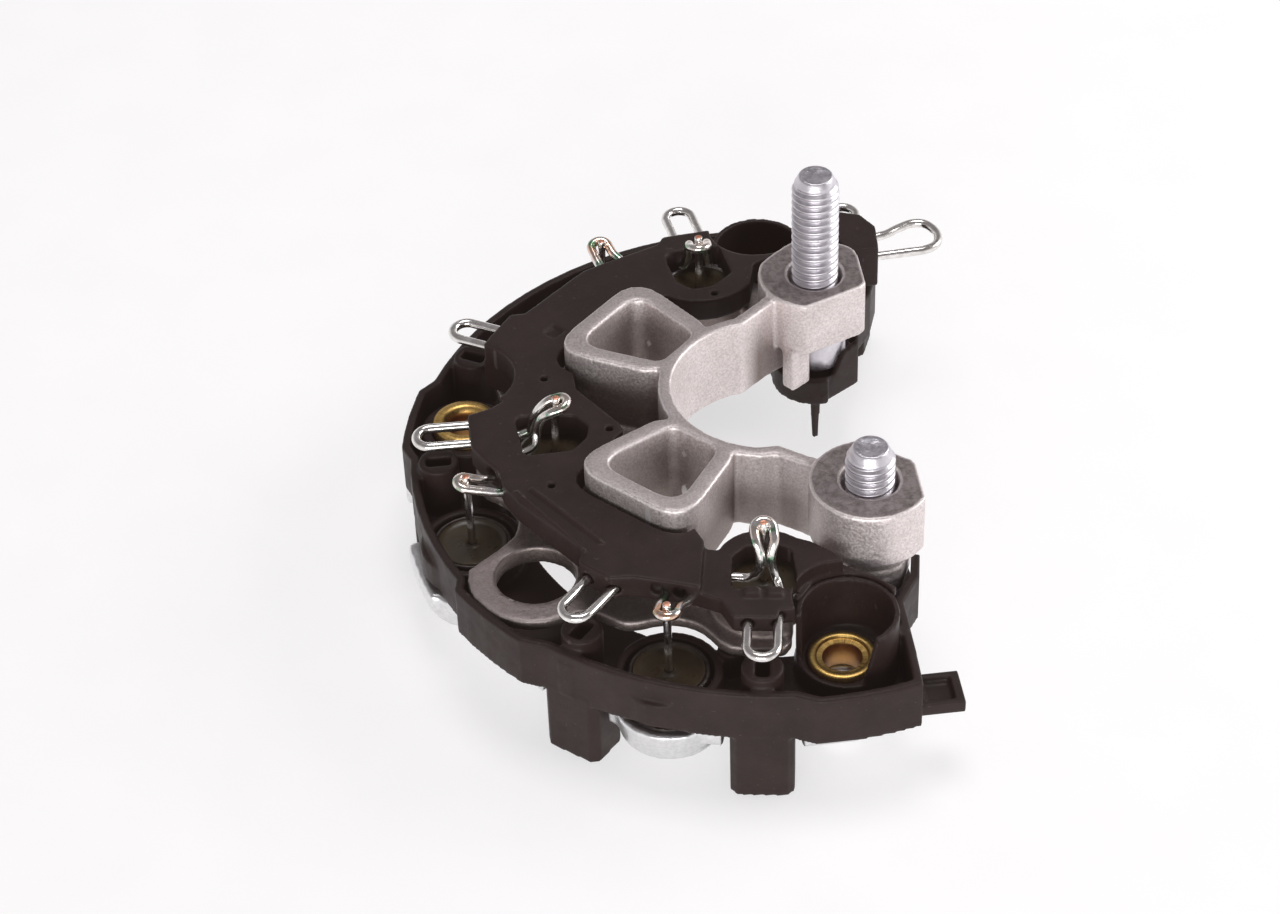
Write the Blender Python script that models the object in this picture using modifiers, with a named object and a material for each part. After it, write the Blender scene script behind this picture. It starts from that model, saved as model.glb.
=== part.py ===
"""Alternator rectifier standing on the legs of its housing, in metres with +Z up.

Sizes are in millimetres. Plan positions count from the axis of the ring, with +X towards
the open end of the C. Heights count from the surface that the legs stand on.
"""

import math

import bmesh
import bpy
import numpy as np

MM = 0.001
CLEARANCE = 0.3
SIDES = 32
RING_X = 12.017
RING_Y = 0.802

# Levels of the stack
HOUSING_BOTTOM = 12.3
FLOOR_THICKNESS = 1.6
WALL_TOP = 21.5
CHIMNEY_TOP = 23.3
FLANGE_TOP = 21.3
FLANGE_THICKNESS = 2.2
COLLAR_TOP = 26.4
CASTING_TOP = 34.3
BOSS_TOP = 35.0
CONNECTION_THICKNESS = 4.3
WIRE_LEVEL = 28.3
SINK_THICKNESS = 3.5

FLOOR_TOP = HOUSING_BOTTOM + FLOOR_THICKNESS
FLANGE_BOTTOM = FLANGE_TOP - FLANGE_THICKNESS
CONNECTION_BOTTOM = COLLAR_TOP + CLEARANCE
CONNECTION_TOP = CONNECTION_BOTTOM + CONNECTION_THICKNESS
SINK_TOP = HOUSING_BOTTOM - CLEARANCE
SINK_BOTTOM = SINK_TOP - SINK_THICKNESS

# Housing
WALL_RADIUS = 59.2
WALL_THICKNESS = 1.4
WALL_STEP = 1.6
WALL_STEP_ANGLES = (90, 94, 155, 158, 172, 175, 205, 207, 222, 226, 265, 268.5, 284)
WALL_STEPS = (0, 0, 0, 1, 1, 0, 0, 1, 1, 0, 0, 1, 1)
FRONT_ANGLE = 283.8
BACK_ANGLE = 63
INNER_RADIUS = 44.5
LOOP_ANGLES = (68.2, 98.2, 148.8, 178.2, 229.4, 260.2)
CHIMNEY_PLACE = 54.5
CHIMNEY_RADIUS = 3.3
SLOT_LENGTH = 4.1
SLOT_WIDTH = 2.2
LEDGE_PLACE = CHIMNEY_PLACE + 2.4
LEDGE_SIZE = (4.8, 2.6)
LEDGE_DROP = 2.0
LEG_WIDTH = 10.0
LEG_FACE = 7.6
LEG_DEPTH = 7.9
LEG_CHAMFER = 1.2
POST_ANGLES = (100, 133, 180, 254)
POST_PLACE = 46.0
POST_RADIUS = 2.2
TUBE_RADIUS = 7.5
TUBE_WALL = 1.0
TUBE_TOP = 26.7
TUBE_SEAT = 16.8
TUBE_CUT_LEVEL = 18.0
TUBE_CUT_TURN = 20
TUBE_CUT_HALF = 62
SEAT_RING_RADIUS = 7.4
SEAT_RING_TOP = 19.6
SEAT_ROOM = 1.4
DIODE_RING_WALL = 1.4
TAB_LENGTH = 6.5
TAB_WIDTH = 7.0
TAB_HEIGHT = 2.2
TAB_RIM = 1.0
ARM_CUP_RADIUS = 7.3
ARM_CUP_TOP = 17.3
WEB_THICKNESS = 1.3
WEB_CORNER = (12.9, 19.6)
WEB_TURN = 19
PIN_PLACE = (10.9, 21.9)
PIN_LENGTH = 8.6
PIN_RADII = (0.6, 0.95)

# Diodes
NEGATIVE_DIODES = ((-50.4, -12.3), (-22.7, -46.3), (-22.7, 46.3))
POSITIVE_DIODES = ((-35.5, -2.3), (-6.6, -37.6), (-6.6, 37.6))
CUP_RADIUS = 6.4
CUP_WALL = 0.75
CUP_DEPTH = 10.2
POSITIVE_CUP_DEPTH = 6.6
NEGATIVE_CUP_TOP = 17.6
SEAL_DEPTH = 1.8
LEAD_RADIUS = 0.65
COLLAR_WALL = 1.6

# Bushes
BUSHES = ((4.2, -46.8), (-49.3, 13.8), (4.2, 46.8))
BUSH_TOPS = (17.4, 21.3, 17.4)
BUSH_RADIUS = 5.4
BUSH_BORE = 2.9
BUSH_CHAMFER = 0.9

# Positive heatsink
PLATE_RADIUS = 48.6
LOBE_PLACE = (-41.2, -25.9)
LOBE_RADIUS = 10.9
LOBE_HOLE = 6.37
LOBE_PAD_WALL = 2.4
LOBE_THICKNESS = 3.3
SCALLOP_RADIUS = 7.5
BLEND = 3.0
RING_RADIUS = 16.0
RING_WALL = 2.2
POCKET = ((-30, 15.3), (-16.8, 8.2), (-10.3, 14.8), (-18.5, 27))
POCKET_ROUNDS = (3.5, 2, 2, 3.5)
POCKET_WALLS = (3.0, 1.2, 3.0, 3.0)
POCKET_BOTTOM = 20.3
POCKET_DRAFT = 0.8
BOSS_PLACE = (11.7, 26.8)
BOSS_RADIUS = 9.6
BACK_FLATS = ((0, 8.0), (-67.2, 7.3), (130.3, 9.05))
FRONT_FLATS = ((0, 7.8), (51, 7.5))
BOSS_HEIGHT = 10.3
BOSS_HOLE = 4.64
LOWER_BOSS_RADIUS = 6.6
LOWER_BOSS_BOTTOM = 17.5
LUG_PLACE = (7.4, 19.6)
LUG_SIZE = (4.2, 2.8)
LUG_TURN = 36

# Studs
STUD_RADIUS = 3.95
STUD_HEAD_RADIUS = 5.3
STUD_TIP_RADIUS = 2.74
LONG_STUD_TOP = 55.2
SHORT_STUD_TOP = 41.6
LONG_HEAD_HEIGHT = 6.6
SHORT_HEAD_HEIGHT = 2.9

# Negative heatsink
SINK_RADIUS = 57.6
SINK_BOSS_RADIUS = 9.2
SINK_BOSS_TAPER = 1.2
SINK_BOSS_BOTTOM = 5.5
BUSH_BOSS_RADIUS = 7.0
BUSH_BOSS_BOTTOM = 6.5
SINK_LOBE_RADIUS = 61.0
SINK_LOBES = ((158, 172), (184.5, 198))

# Wires
WIRE_RADIUS = 0.775
BORE_DEPTH = 2.0
BORE_LENGTH = 4.4
LOOP_TIP = 58.5
LOOP_WIDTH = 6.2
LOOP_ROOTS = (50.3, 47.6, 47.4, 49.0, 48.3, 49.9)
HAIRPIN_TURN = 1.73
JOINT_STARTS = {
    "positive": ((-43.2, -2.3), (-7.8, -45.0), (-10.6, 43.6)),
    "negative": ((-43.3, -10.6), (-21.4, -38.3), (-21.4, 38.3)),
}
NEGATIVE_LEAD_TOP = 31.3
POSITIVE_LEAD_TOP = 37.6

for leftover in list(bpy.data.objects):
    bpy.data.objects.remove(leftover)

parts = bpy.data.collections.new("alternator_rectifier")
cutters = bpy.data.collections.new("construction")
bpy.context.scene.collection.children.link(parts)
bpy.context.scene.collection.children.link(cutters)
axis = bpy.data.objects.new("ring_axis", None)
axis.location = (RING_X * MM, RING_Y * MM, 0)
parts.objects.link(axis)


def material(name, colour, roughness, metallic):
    made = bpy.data.materials.new(name)
    made.use_nodes = True
    shader = made.node_tree.nodes["Principled BSDF"]
    shader.inputs["Base Color"].default_value = (*colour, 1)
    shader.inputs["Roughness"].default_value = roughness
    shader.inputs["Metallic"].default_value = metallic
    made.diffuse_color = (*colour, 1)
    return made


CAST = material("cast_aluminium", (0.55, 0.53, 0.50), 0.42, 1)
SINK = material("bright_aluminium", (0.75, 0.75, 0.74), 0.35, 1)
PLASTIC = material("black_plastic", (0.022, 0.019, 0.018), 0.5, 0)
TINNED = material("tinned_copper", (0.78, 0.76, 0.73), 0.22, 1)
ZINC = material("zinc_plated_steel", (0.72, 0.73, 0.75), 0.25, 1)
BRASS = material("brass", (0.62, 0.46, 0.18), 0.32, 1)
CUP = material("diode_cup", (0.50, 0.49, 0.47), 0.35, 1)
POTTING = material("potting", (0.055, 0.050, 0.028), 0.35, 0)


# Points in plan

def polar(radius, degrees, centre=(0, 0)):
    angle = math.radians(degrees)
    return (centre[0] + radius * math.cos(angle), centre[1] + radius * math.sin(angle))


def arc(centre, radius, start, end, steps):
    return [polar(radius, start + (end - start) * i / steps, centre) for i in range(steps + 1)]


def mirrored(points):
    return [(x, -y) for x, y in reversed(points)]


def turned_by(points, degrees, place=(0, 0)):
    c, s = math.cos(math.radians(degrees)), math.sin(math.radians(degrees))
    return [(place[0] + c * x - s * y, place[1] + s * x + c * y) for x, y in points]


def offset(points, distances):
    """The closed counter-clockwise outline with each edge moved out by its own distance."""
    count = len(points)
    lines = []
    for i, distance in enumerate(distances):
        start, end = np.array(points[i]), np.array(points[(i + 1) % count])
        along = (end - start) / np.linalg.norm(end - start)
        outward = np.array([along[1], -along[0]])
        lines.append((outward, outward @ start + distance))
    corners = []
    for i in range(count):
        (a, da), (b, db) = lines[i - 1], lines[i]
        corners.append(tuple(np.linalg.solve(np.array([a, b]), [da, db])))
    return corners


def rounded(points, rounds, steps=5):
    """The closed outline with an arc in each corner, no longer than its edges allow."""
    outline = []
    count = len(points)
    for i, radius in enumerate(rounds):
        here = np.array(points[i], float)
        before = np.array(points[i - 1]) - here
        after = np.array(points[(i + 1) % count]) - here
        room = 0.48 * min(np.linalg.norm(before), np.linalg.norm(after))
        before, after = before / np.linalg.norm(before), after / np.linalg.norm(after)
        half = math.acos(max(-1, min(1, before @ after))) / 2
        if radius == 0 or half > 1.5:
            outline.append(tuple(here))
            continue
        reach = min(radius / math.tan(half), room)
        start, end = here + before * reach, here + after * reach
        for step in range(steps + 1):
            t = step / steps
            outline.append(tuple((1 - t) ** 2 * start + 2 * t * (1 - t) * here + t * t * end))
    return outline


def strip(path, thickness):
    """The closed outline of a wall that lies to the left of its path."""
    points = [np.array(p, float) for p in path]
    inner = []
    for i, here in enumerate(points):
        before = here - points[max(i - 1, 0)]
        after = points[min(i + 1, len(points) - 1)] - here
        along = before / (np.linalg.norm(before) or 1) + after / (np.linalg.norm(after) or 1)
        along /= np.linalg.norm(along)
        reference = before if i else after
        square = abs(along @ reference) / np.linalg.norm(reference)
        inner.append(tuple(here + np.array([-along[1], along[0]]) * thickness / square))
    return list(path) + inner[::-1]


def smooth_least(a, b, blend):
    overlap = max(blend - abs(a - b), 0) / blend
    return min(a, b) - overlap * overlap * blend / 4


# Solids

def place(name, mesh, finish=None):
    obj = bpy.data.objects.new(name, mesh)
    obj.parent = axis
    if finish:
        parts.objects.link(obj)
        mesh.materials.append(finish)
    else:
        cutters.objects.link(obj)
        obj.hide_render = True
        obj.display_type = "WIRE"
    return obj


def from_bmesh(name, shape, finish):
    bmesh.ops.recalc_face_normals(shape, faces=shape.faces)
    mesh = bpy.data.meshes.new(name)
    shape.to_mesh(mesh)
    shape.free()
    mesh.shade_smooth()
    mesh.set_sharp_from_angle(angle=math.radians(35))
    return place(name, mesh, finish)


def cylinder(name, centre, radius, bottom, top, finish=None, sides=SIDES, top_radius=None):
    shape = bmesh.new()
    bmesh.ops.create_cone(
        shape,
        cap_ends=True,
        segments=sides,
        radius1=radius * MM,
        radius2=(radius if top_radius is None else top_radius) * MM,
        depth=(top - bottom) * MM,
    )
    middle = (centre[0] * MM, centre[1] * MM, (bottom + top) / 2 * MM)
    bmesh.ops.translate(shape, verts=shape.verts, vec=middle)
    return from_bmesh(name, shape, finish)


def slab(name, outlines, bottom, top, finish=None, draft=None):
    """A flat outline with holes between two levels. A draft narrows its bottom."""
    curve = bpy.data.curves.new(name, "CURVE")
    curve.dimensions = "2D"
    curve.fill_mode = "BOTH"
    curve.extrude = (top - bottom) / 2 * MM
    for outline in outlines:
        spline = curve.splines.new("POLY")
        spline.points.add(len(outline) - 1)
        for point, (x, y) in zip(spline.points, outline):
            point.co = (x * MM, y * MM, 0, 1)
        spline.use_cyclic_u = True
    carrier = bpy.data.objects.new(name + "_outline", curve)
    flat = bpy.data.meshes.new_from_object(carrier)
    bpy.data.objects.remove(carrier)
    shape = bmesh.new()
    shape.from_mesh(flat)
    bpy.data.meshes.remove(flat)
    bmesh.ops.remove_doubles(shape, verts=shape.verts, dist=0.000001)
    if draft:
        centre = np.mean(np.array(outlines[0]), axis=0) * MM
        for vert in shape.verts:
            if vert.co.z < 0:
                vert.co.x = centre[0] + (vert.co.x - centre[0]) * draft
                vert.co.y = centre[1] + (vert.co.y - centre[1]) * draft
    bmesh.ops.translate(shape, verts=shape.verts, vec=(0, 0, (bottom + top) / 2 * MM))
    return from_bmesh(name, shape, finish)


def block(name, centre, size, degrees, bottom, top, finish=None):
    x, y = size[0] / 2, size[1] / 2
    corners = turned_by([(-x, -y), (x, -y), (x, y), (-x, y)], degrees, centre)
    return slab(name, [corners], bottom, top, finish)


def turned(name, centre, profile, finish, sides=SIDES):
    """A profile of radii and levels, down its outer side, turned about an upright axis."""
    mesh = bpy.data.meshes.new(name)
    verts = [(radius * MM, 0, level * MM) for radius, level in profile]
    closed = profile[0][0] > 0
    count = len(verts)
    edges = [(i, (i + 1) % count) for i in range(count if closed else count - 1)]
    mesh.from_pydata(verts, edges, [])
    obj = place(name, mesh, finish)
    obj.location = (centre[0] * MM, centre[1] * MM, 0)
    screw = obj.modifiers.new("turn", "SCREW")
    screw.steps = sides
    screw.render_steps = sides
    screw.use_merge_vertices = True
    screw.merge_threshold = 0.00001
    screw.use_smooth_shade = False
    return obj


def wire(name, points, radius, finish):
    curve = bpy.data.curves.new(name, "CURVE")
    curve.dimensions = "3D"
    curve.bevel_depth = radius * MM
    curve.bevel_resolution = 2
    curve.use_fill_caps = True
    spline = curve.splines.new("POLY")
    spline.points.add(len(points) - 1)
    for point, co in zip(spline.points, points):
        point.co = (co[0] * MM, co[1] * MM, co[2] * MM, 1)
    return place(name, curve, finish)


def combine(target, operation, *others):
    """Joins the other solids to the target, or cuts them from it."""
    group = bpy.data.collections.new(f"{target.name}_{operation.lower()}")
    cutters.children.link(group)
    for other in others:
        cutters.objects.unlink(other)
        group.objects.link(other)
    step = target.modifiers.new(operation.lower(), "BOOLEAN")
    step.operation = operation
    step.operand_type = "COLLECTION"
    step.collection = group
    step.solver = "EXACT"


def merge_flats(target):
    """Clears the edges that the joins and cuts left across flat faces."""
    step = target.modifiers.new("merge_flats", "DECIMATE")
    step.decimate_type = "DISSOLVE"
    step.angle_limit = math.radians(0.5)


# Insulator housing

def wall_path():
    angles = sorted(set(np.arange(BACK_ANGLE, FRONT_ANGLE, 4.6)) | set(WALL_STEP_ANGLES[1:-1]))
    angles.append(FRONT_ANGLE)
    steps = np.interp(angles, WALL_STEP_ANGLES, WALL_STEPS) * WALL_STEP
    return [polar(WALL_RADIUS + step, angle) for angle, step in zip(angles, steps)]


def front_end_path():
    """The end wall at the front, from its outer corner to below the front boss."""
    x, y = BOSS_PLACE[0], -BOSS_PLACE[1]
    steps = [(3.0, -25), (3.1, -14), (4.6, -11.5), (6.6, -8.5), (7.6, -3.5)]
    return [(x + away, y + along) for away, along in steps]


def back_end_path():
    """The end wall at the back, from below the back boss to its outer corner."""
    x, y = BOSS_PLACE
    return [(x + 8.6, y + 6), (x + 11.6, y + 10.5), (x + 13.5, y + 16)]


def floor_outline():
    outer = wall_path()
    boss = (BOSS_PLACE[0], -BOSS_PLACE[1])
    front = arc(boss, ARM_CUP_RADIUS, 20, 190, 12)
    back = arc(BOSS_PLACE, ARM_CUP_RADIUS, 170, 330, 12)
    inner = arc((0, 0), INNER_RADIUS, 272, 88, 36)
    return back_end_path() + outer + front_end_path() + front + inner + back


def leg_outline(angle):
    half, face = LEG_WIDTH / 2, LEG_FACE / 2
    out, back = WALL_RADIUS, WALL_RADIUS - LEG_DEPTH
    shape = [
        (back, -half + LEG_CHAMFER),
        (back + LEG_CHAMFER, -half),
        (out - LEG_CHAMFER, -half),
        (out, -face),
        (out, face),
        (out - LEG_CHAMFER, half),
        (back + LEG_CHAMFER, half),
        (back, half - LEG_CHAMFER),
    ]
    return turned_by(shape, angle)


def tube_cut_outline(centre, outward):
    reach = TUBE_RADIUS + 2 * CLEARANCE
    return arc(centre, reach, outward - TUBE_CUT_HALF, outward + TUBE_CUT_HALF, 12)


def arm_web(name):
    """The upright web beside the back boss, sloping down towards its pin."""
    shape = bmesh.new()
    low = HOUSING_BOTTOM + 0.2
    side = [(-1, low), (6.6, low), (6.6, 21.6), (5, 20.8), (1.2, 14.8), (-1, 14.3)]
    verts = [shape.verts.new((x * MM, 0, z * MM)) for x, z in side]
    face = shape.faces.new(verts)
    grown = bmesh.ops.extrude_face_region(shape, geom=[face])["geom"]
    moved = [item for item in grown if isinstance(item, bmesh.types.BMVert)]
    bmesh.ops.translate(shape, verts=moved, vec=(0, WEB_THICKNESS * MM, 0))
    obj = from_bmesh(name, shape, None)
    obj.location = (WEB_CORNER[0] * MM, WEB_CORNER[1] * MM, 0)
    obj.rotation_euler.z = math.radians(WEB_TURN)
    return obj


def chimney_pieces():
    """The legs, chimneys and ledges of the wire loops, and the slots through them."""
    joined, holes = [], []
    for number, angle in enumerate(LOOP_ANGLES):
        centre = polar(CHIMNEY_PLACE, angle)
        ledge = polar(LEDGE_PLACE, angle)
        low = FLOOR_TOP - 1
        slot = (SLOT_LENGTH, SLOT_WIDTH)
        joined += [
            slab(f"leg_{number}", [leg_outline(angle)], 0, FLOOR_TOP - 0.5),
            cylinder(f"chimney_{number}", centre, CHIMNEY_RADIUS, low, CHIMNEY_TOP, sides=24),
            block(f"ledge_{number}", ledge, LEDGE_SIZE, angle, low, WALL_TOP - LEDGE_DROP),
        ]
        holes.append(block(f"slot_{number}", centre, slot, angle, -1, CHIMNEY_TOP + 1))
    return joined, holes


def socket_pieces():
    """The rings round the diodes and the tubes round the bushes, and their bores."""
    low, under = FLOOR_TOP - 1, HOUSING_BOTTOM - 1
    joined, holes = [], []
    for number, centre in enumerate(NEGATIVE_DIODES):
        ring = CUP_RADIUS + 2 * CLEARANCE
        outer = ring + DIODE_RING_WALL
        joined.append(cylinder(f"diode_ring_{number}", centre, outer, low, NEGATIVE_CUP_TOP))
        holes.append(cylinder(f"diode_hole_{number}", centre, ring, under, NEGATIVE_CUP_TOP + 1))
    bore = BUSH_RADIUS + CLEARANCE
    for number, centre in enumerate(BUSHES):
        in_tube = number != 1
        radius = TUBE_RADIUS if in_tube else SEAT_RING_RADIUS
        top = TUBE_TOP if in_tube else SEAT_RING_TOP
        joined.append(cylinder(f"tube_{number}", centre, radius, low, top))
        holes.append(cylinder(f"bush_hole_{number}", centre, bore, under, TUBE_TOP + 1))
        if in_tube:
            outward = math.degrees(math.atan2(centre[1], centre[0]))
            side = math.copysign(TUBE_CUT_TURN, centre[1])
            cut = tube_cut_outline(centre, outward + side)
            inside = TUBE_RADIUS - TUBE_WALL
            holes += [
                cylinder(f"tube_bore_{number}", centre, inside, TUBE_SEAT, TUBE_TOP + 1),
                slab(f"tube_cut_{number}", [cut], TUBE_CUT_LEVEL, TUBE_TOP + 1),
            ]
    return joined, holes


def arm_pieces():
    pin_top = HOUSING_BOTTOM + 1
    foot, head = PIN_RADII
    return [
        cylinder("arm_cup", BOSS_PLACE, ARM_CUP_RADIUS, HOUSING_BOTTOM, ARM_CUP_TOP),
        arm_web("arm_web"),
        cylinder("arm_pin", PIN_PLACE, foot, pin_top - PIN_LENGTH, pin_top, sides=12, top_radius=head),
    ]


def insulator_housing():
    path = strip(back_end_path() + wall_path() + front_end_path(), WALL_THICKNESS)
    body = slab("insulator_housing", [path], HOUSING_BOTTOM, WALL_TOP, PLASTIC)
    joined = [slab("floor", [floor_outline()], HOUSING_BOTTOM, FLOOR_TOP)]
    holes = []
    for pieces, cuts in (chimney_pieces(), socket_pieces()):
        joined += pieces
        holes += cuts
    post_top = FLANGE_BOTTOM - CLEARANCE
    for number, angle in enumerate(POST_ANGLES):
        post = polar(POST_PLACE, angle)
        joined.append(cylinder(f"post_{number}", post, POST_RADIUS, FLOOR_TOP - 1, post_top, sides=16))
    joined += arm_pieces()
    head_room = STUD_HEAD_RADIUS + 2 * CLEARANCE
    holes.append(cylinder("arm_cup_bore", BOSS_PLACE, head_room, FLOOR_TOP, ARM_CUP_TOP + 1))
    tab = (BOSS_PLACE[0] + 3 + TAB_LENGTH / 2, -WALL_RADIUS + 5.7)
    outside = (TAB_LENGTH + 1, TAB_WIDTH)
    tray = (TAB_LENGTH - 2 * TAB_RIM, TAB_WIDTH - 2 * TAB_RIM)
    tab_top = HOUSING_BOTTOM + TAB_HEIGHT
    joined.append(block("tab", tab, outside, 0, HOUSING_BOTTOM, tab_top))
    holes.append(block("tab_tray", tab, tray, 0, HOUSING_BOTTOM + TAB_RIM, WALL_TOP))
    combine(body, "UNION", *joined)
    combine(body, "DIFFERENCE", *holes)
    merge_flats(body)


# Positive heatsink

def plate_depth(x, y):
    """How far a point lies inside the plate's outer edge, less than 0 outside it."""
    depth = -smooth_least(
        math.hypot(x, y) - PLATE_RADIUS,
        math.hypot(x - LOBE_PLACE[0], y - LOBE_PLACE[1]) - LOBE_RADIUS,
        BLEND,
    )
    stops = [(centre, SCALLOP_RADIUS) for centre in NEGATIVE_DIODES]
    stops.append((BUSHES[1], SEAT_RING_RADIUS + 2 * CLEARANCE))
    for centre, radius in stops:
        away = math.hypot(x - centre[0], y - centre[1]) - radius
        depth = smooth_least(depth, away, BLEND)
    return depth


def plate_edge(angle):
    radius = WALL_RADIUS
    while plate_depth(*polar(radius, angle)) < 0:
        radius -= 0.15
    return polar(radius, angle)


def flange_outline():
    edge = [plate_edge(angle) for angle in np.arange(96, 264.1, 2)]
    front = [(-3, -46), (-2, -40), (-8, -33), (-14.5, -33.5), (-17, -28), (-13, -13)]
    inner = arc((0, 0), RING_RADIUS + RING_WALL / 2, 225, 135, 12)
    return edge + front + inner + mirrored(front)


def boss_outline(centre, flats):
    """A round boss cut by flats, each given by its direction and its distance."""
    outline = []
    for step in range(SIDES + 8):
        angle = 360 * step / (SIDES + 8)
        radius = BOSS_RADIUS
        for direction, distance in flats:
            lean = math.cos(math.radians(angle - direction))
            if lean > 0.1:
                radius = min(radius, distance / lean)
        outline.append(polar(radius, angle, centre))
    return outline


def ring_wall_outline():
    inner = [(-2.4, 15.7), (3.5, 20.7), (6.5, 22.5)]
    turn = arc((0, 0), RING_RADIUS, 104, 256, 26)
    path = inner[::-1] + turn + [(-0.9, -15.5), (4.7, -19.8), (7.5, -21.5)]
    return strip(path, -RING_WALL)


def pockets():
    """The walls of the two pockets, and the drafted openings in them."""
    walls = rounded(offset(POCKET, POCKET_WALLS), [r + 2 for r in POCKET_ROUNDS])
    opening = rounded(POCKET, POCKET_ROUNDS)
    low, high = FLANGE_BOTTOM - 2, CASTING_TOP + 1
    joined, holes = [], []
    for number, flip in enumerate((list, mirrored)):
        joined.append(slab(f"pocket_wall_{number}", [flip(walls)], POCKET_BOTTOM - 1, CASTING_TOP))
        holes.append(slab(f"pocket_{number}", [flip(opening)], low, high, draft=POCKET_DRAFT))
    return joined, holes


def stud_bosses():
    """The bosses with their webs to the flange, and the holes of the studs."""
    front_boss = (BOSS_PLACE[0], -BOSS_PLACE[1])
    bottom = BOSS_TOP - BOSS_HEIGHT
    web = [(-2, -42), (3, -39), (9, -33), (5, -27), (-1, -33)]
    joined = [
        slab("back_boss", [boss_outline(BOSS_PLACE, BACK_FLATS)], bottom, BOSS_TOP),
        slab("front_boss", [boss_outline(front_boss, FRONT_FLATS)], bottom, BOSS_TOP),
        cylinder("lower_boss", front_boss, LOWER_BOSS_RADIUS, LOWER_BOSS_BOTTOM, bottom + 1),
        block("lug", LUG_PLACE, LUG_SIZE, LUG_TURN, LOWER_BOSS_BOTTOM, bottom + 1),
        slab("front_web", [web], FLANGE_BOTTOM, bottom + 0.6),
        slab("back_web", [mirrored(web)], FLANGE_BOTTOM, bottom + 0.6),
    ]
    under = LOWER_BOSS_BOTTOM - 1
    counterbore = LOWER_BOSS_BOTTOM + SHORT_HEAD_HEIGHT + CLEARANCE
    head = STUD_HEAD_RADIUS + CLEARANCE
    holes = [
        cylinder("back_boss_hole", BOSS_PLACE, BOSS_HOLE, under, BOSS_TOP + 1),
        cylinder("front_boss_hole", front_boss, BOSS_HOLE, under, BOSS_TOP + 1),
        cylinder("stud_counterbore", front_boss, head, under, counterbore),
    ]
    return joined, holes


def positive_heatsink():
    body = slab("positive_heatsink", [flange_outline()], FLANGE_BOTTOM, FLANGE_TOP, CAST)
    lobe_bottom = FLANGE_TOP - LOBE_THICKNESS
    pad = LOBE_HOLE + LOBE_PAD_WALL
    joined = [
        slab("ring_wall", [ring_wall_outline()], FLANGE_BOTTOM, CASTING_TOP),
        cylinder("lobe_pad", LOBE_PLACE, pad, lobe_bottom, FLANGE_TOP - 0.2),
    ]
    holes = [cylinder("lobe_hole", LOBE_PLACE, LOBE_HOLE, lobe_bottom - 1, FLANGE_TOP + 1)]
    for pieces, cuts in (pockets(), stud_bosses()):
        joined += pieces
        holes += cuts
    under = FLANGE_BOTTOM - 1
    bore = CUP_RADIUS + CLEARANCE
    for number, centre in enumerate(POSITIVE_DIODES):
        joined.append(cylinder(f"collar_{number}", centre, bore + COLLAR_WALL, FLANGE_BOTTOM, COLLAR_TOP))
        holes.append(cylinder(f"diode_bore_{number}", centre, bore, under, COLLAR_TOP + 1))
    clear = TUBE_RADIUS + CLEARANCE
    for number in (0, 2):
        holes.append(cylinder(f"tube_clearance_{number}", BUSHES[number], clear, under, BOSS_TOP))
    combine(body, "UNION", *joined)
    combine(body, "DIFFERENCE", *holes)
    merge_flats(body)


# Negative heatsink

def leg_half_angle():
    """Half of the angle that a leg and its clearance take up in the edge."""
    return math.degrees((LEG_WIDTH / 2 + CLEARANCE) / (WALL_RADIUS - LEG_DEPTH))


def sink_edge(angle):
    radius = SINK_RADIUS
    if any(start < angle < end for start, end in SINK_LOBES):
        radius = SINK_LOBE_RADIUS
    for leg in LOOP_ANGLES:
        if abs(angle - leg) < leg_half_angle():
            radius = WALL_RADIUS - LEG_DEPTH - CLEARANCE
    return polar(radius, angle)


def negative_heatsink():
    half = leg_half_angle()
    start, end = LOOP_ANGLES[0] - half - 0.1, FRONT_ANGLE - 3
    angles = set(np.arange(start, end, 5.0)) | {end, 157.9, 158.1, 171.9, 184.6, 197.9, 198.1}
    for leg in LOOP_ANGLES:
        angles |= {leg - half - 0.1, leg - half + 0.1, leg, leg + half - 0.1, leg + half + 0.1}
    outer = [sink_edge(angle) for angle in sorted(angles)]
    inner = arc((0, 0), INNER_RADIUS, end, start, 36)
    body = slab("negative_heatsink", [outer + inner], SINK_BOTTOM, SINK_TOP, SINK)
    joined, holes = [], []
    boss_top, high = SINK_TOP - 0.4, SINK_TOP + 1
    bore, bore_bottom = CUP_RADIUS + CLEARANCE, NEGATIVE_CUP_TOP - CUP_DEPTH - CLEARANCE
    foot = SINK_BOSS_RADIUS - SINK_BOSS_TAPER
    for number, centre in enumerate(NEGATIVE_DIODES):
        sizes = (foot, SINK_BOSS_BOTTOM, boss_top)
        boss = cylinder(f"sink_boss_{number}", centre, *sizes, top_radius=SINK_BOSS_RADIUS)
        joined.append(boss)
        holes.append(cylinder(f"sink_bore_{number}", centre, bore, bore_bottom, high))
    for number, centre in enumerate(BUSHES):
        joined.append(cylinder(f"bush_boss_{number}", centre, BUSH_BOSS_RADIUS, BUSH_BOSS_BOTTOM, boss_top))
        under = BUSH_BOSS_BOTTOM - 1
        holes.append(cylinder(f"screw_hole_{number}", centre, BUSH_BORE, under, high, sides=24))
    combine(body, "UNION", *joined)
    half_depth = LEG_DEPTH / 2 + 3
    notch = (2 * half_depth, LEG_WIDTH + 2 * CLEARANCE)
    for number, angle in enumerate(LOOP_ANGLES):
        middle = polar(WALL_RADIUS - LEG_DEPTH - CLEARANCE + half_depth, angle)
        holes.append(block(f"leg_notch_{number}", middle, notch, angle, 0, high))
    combine(body, "DIFFERENCE", *holes)
    merge_flats(body)


# Connection plate

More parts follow.
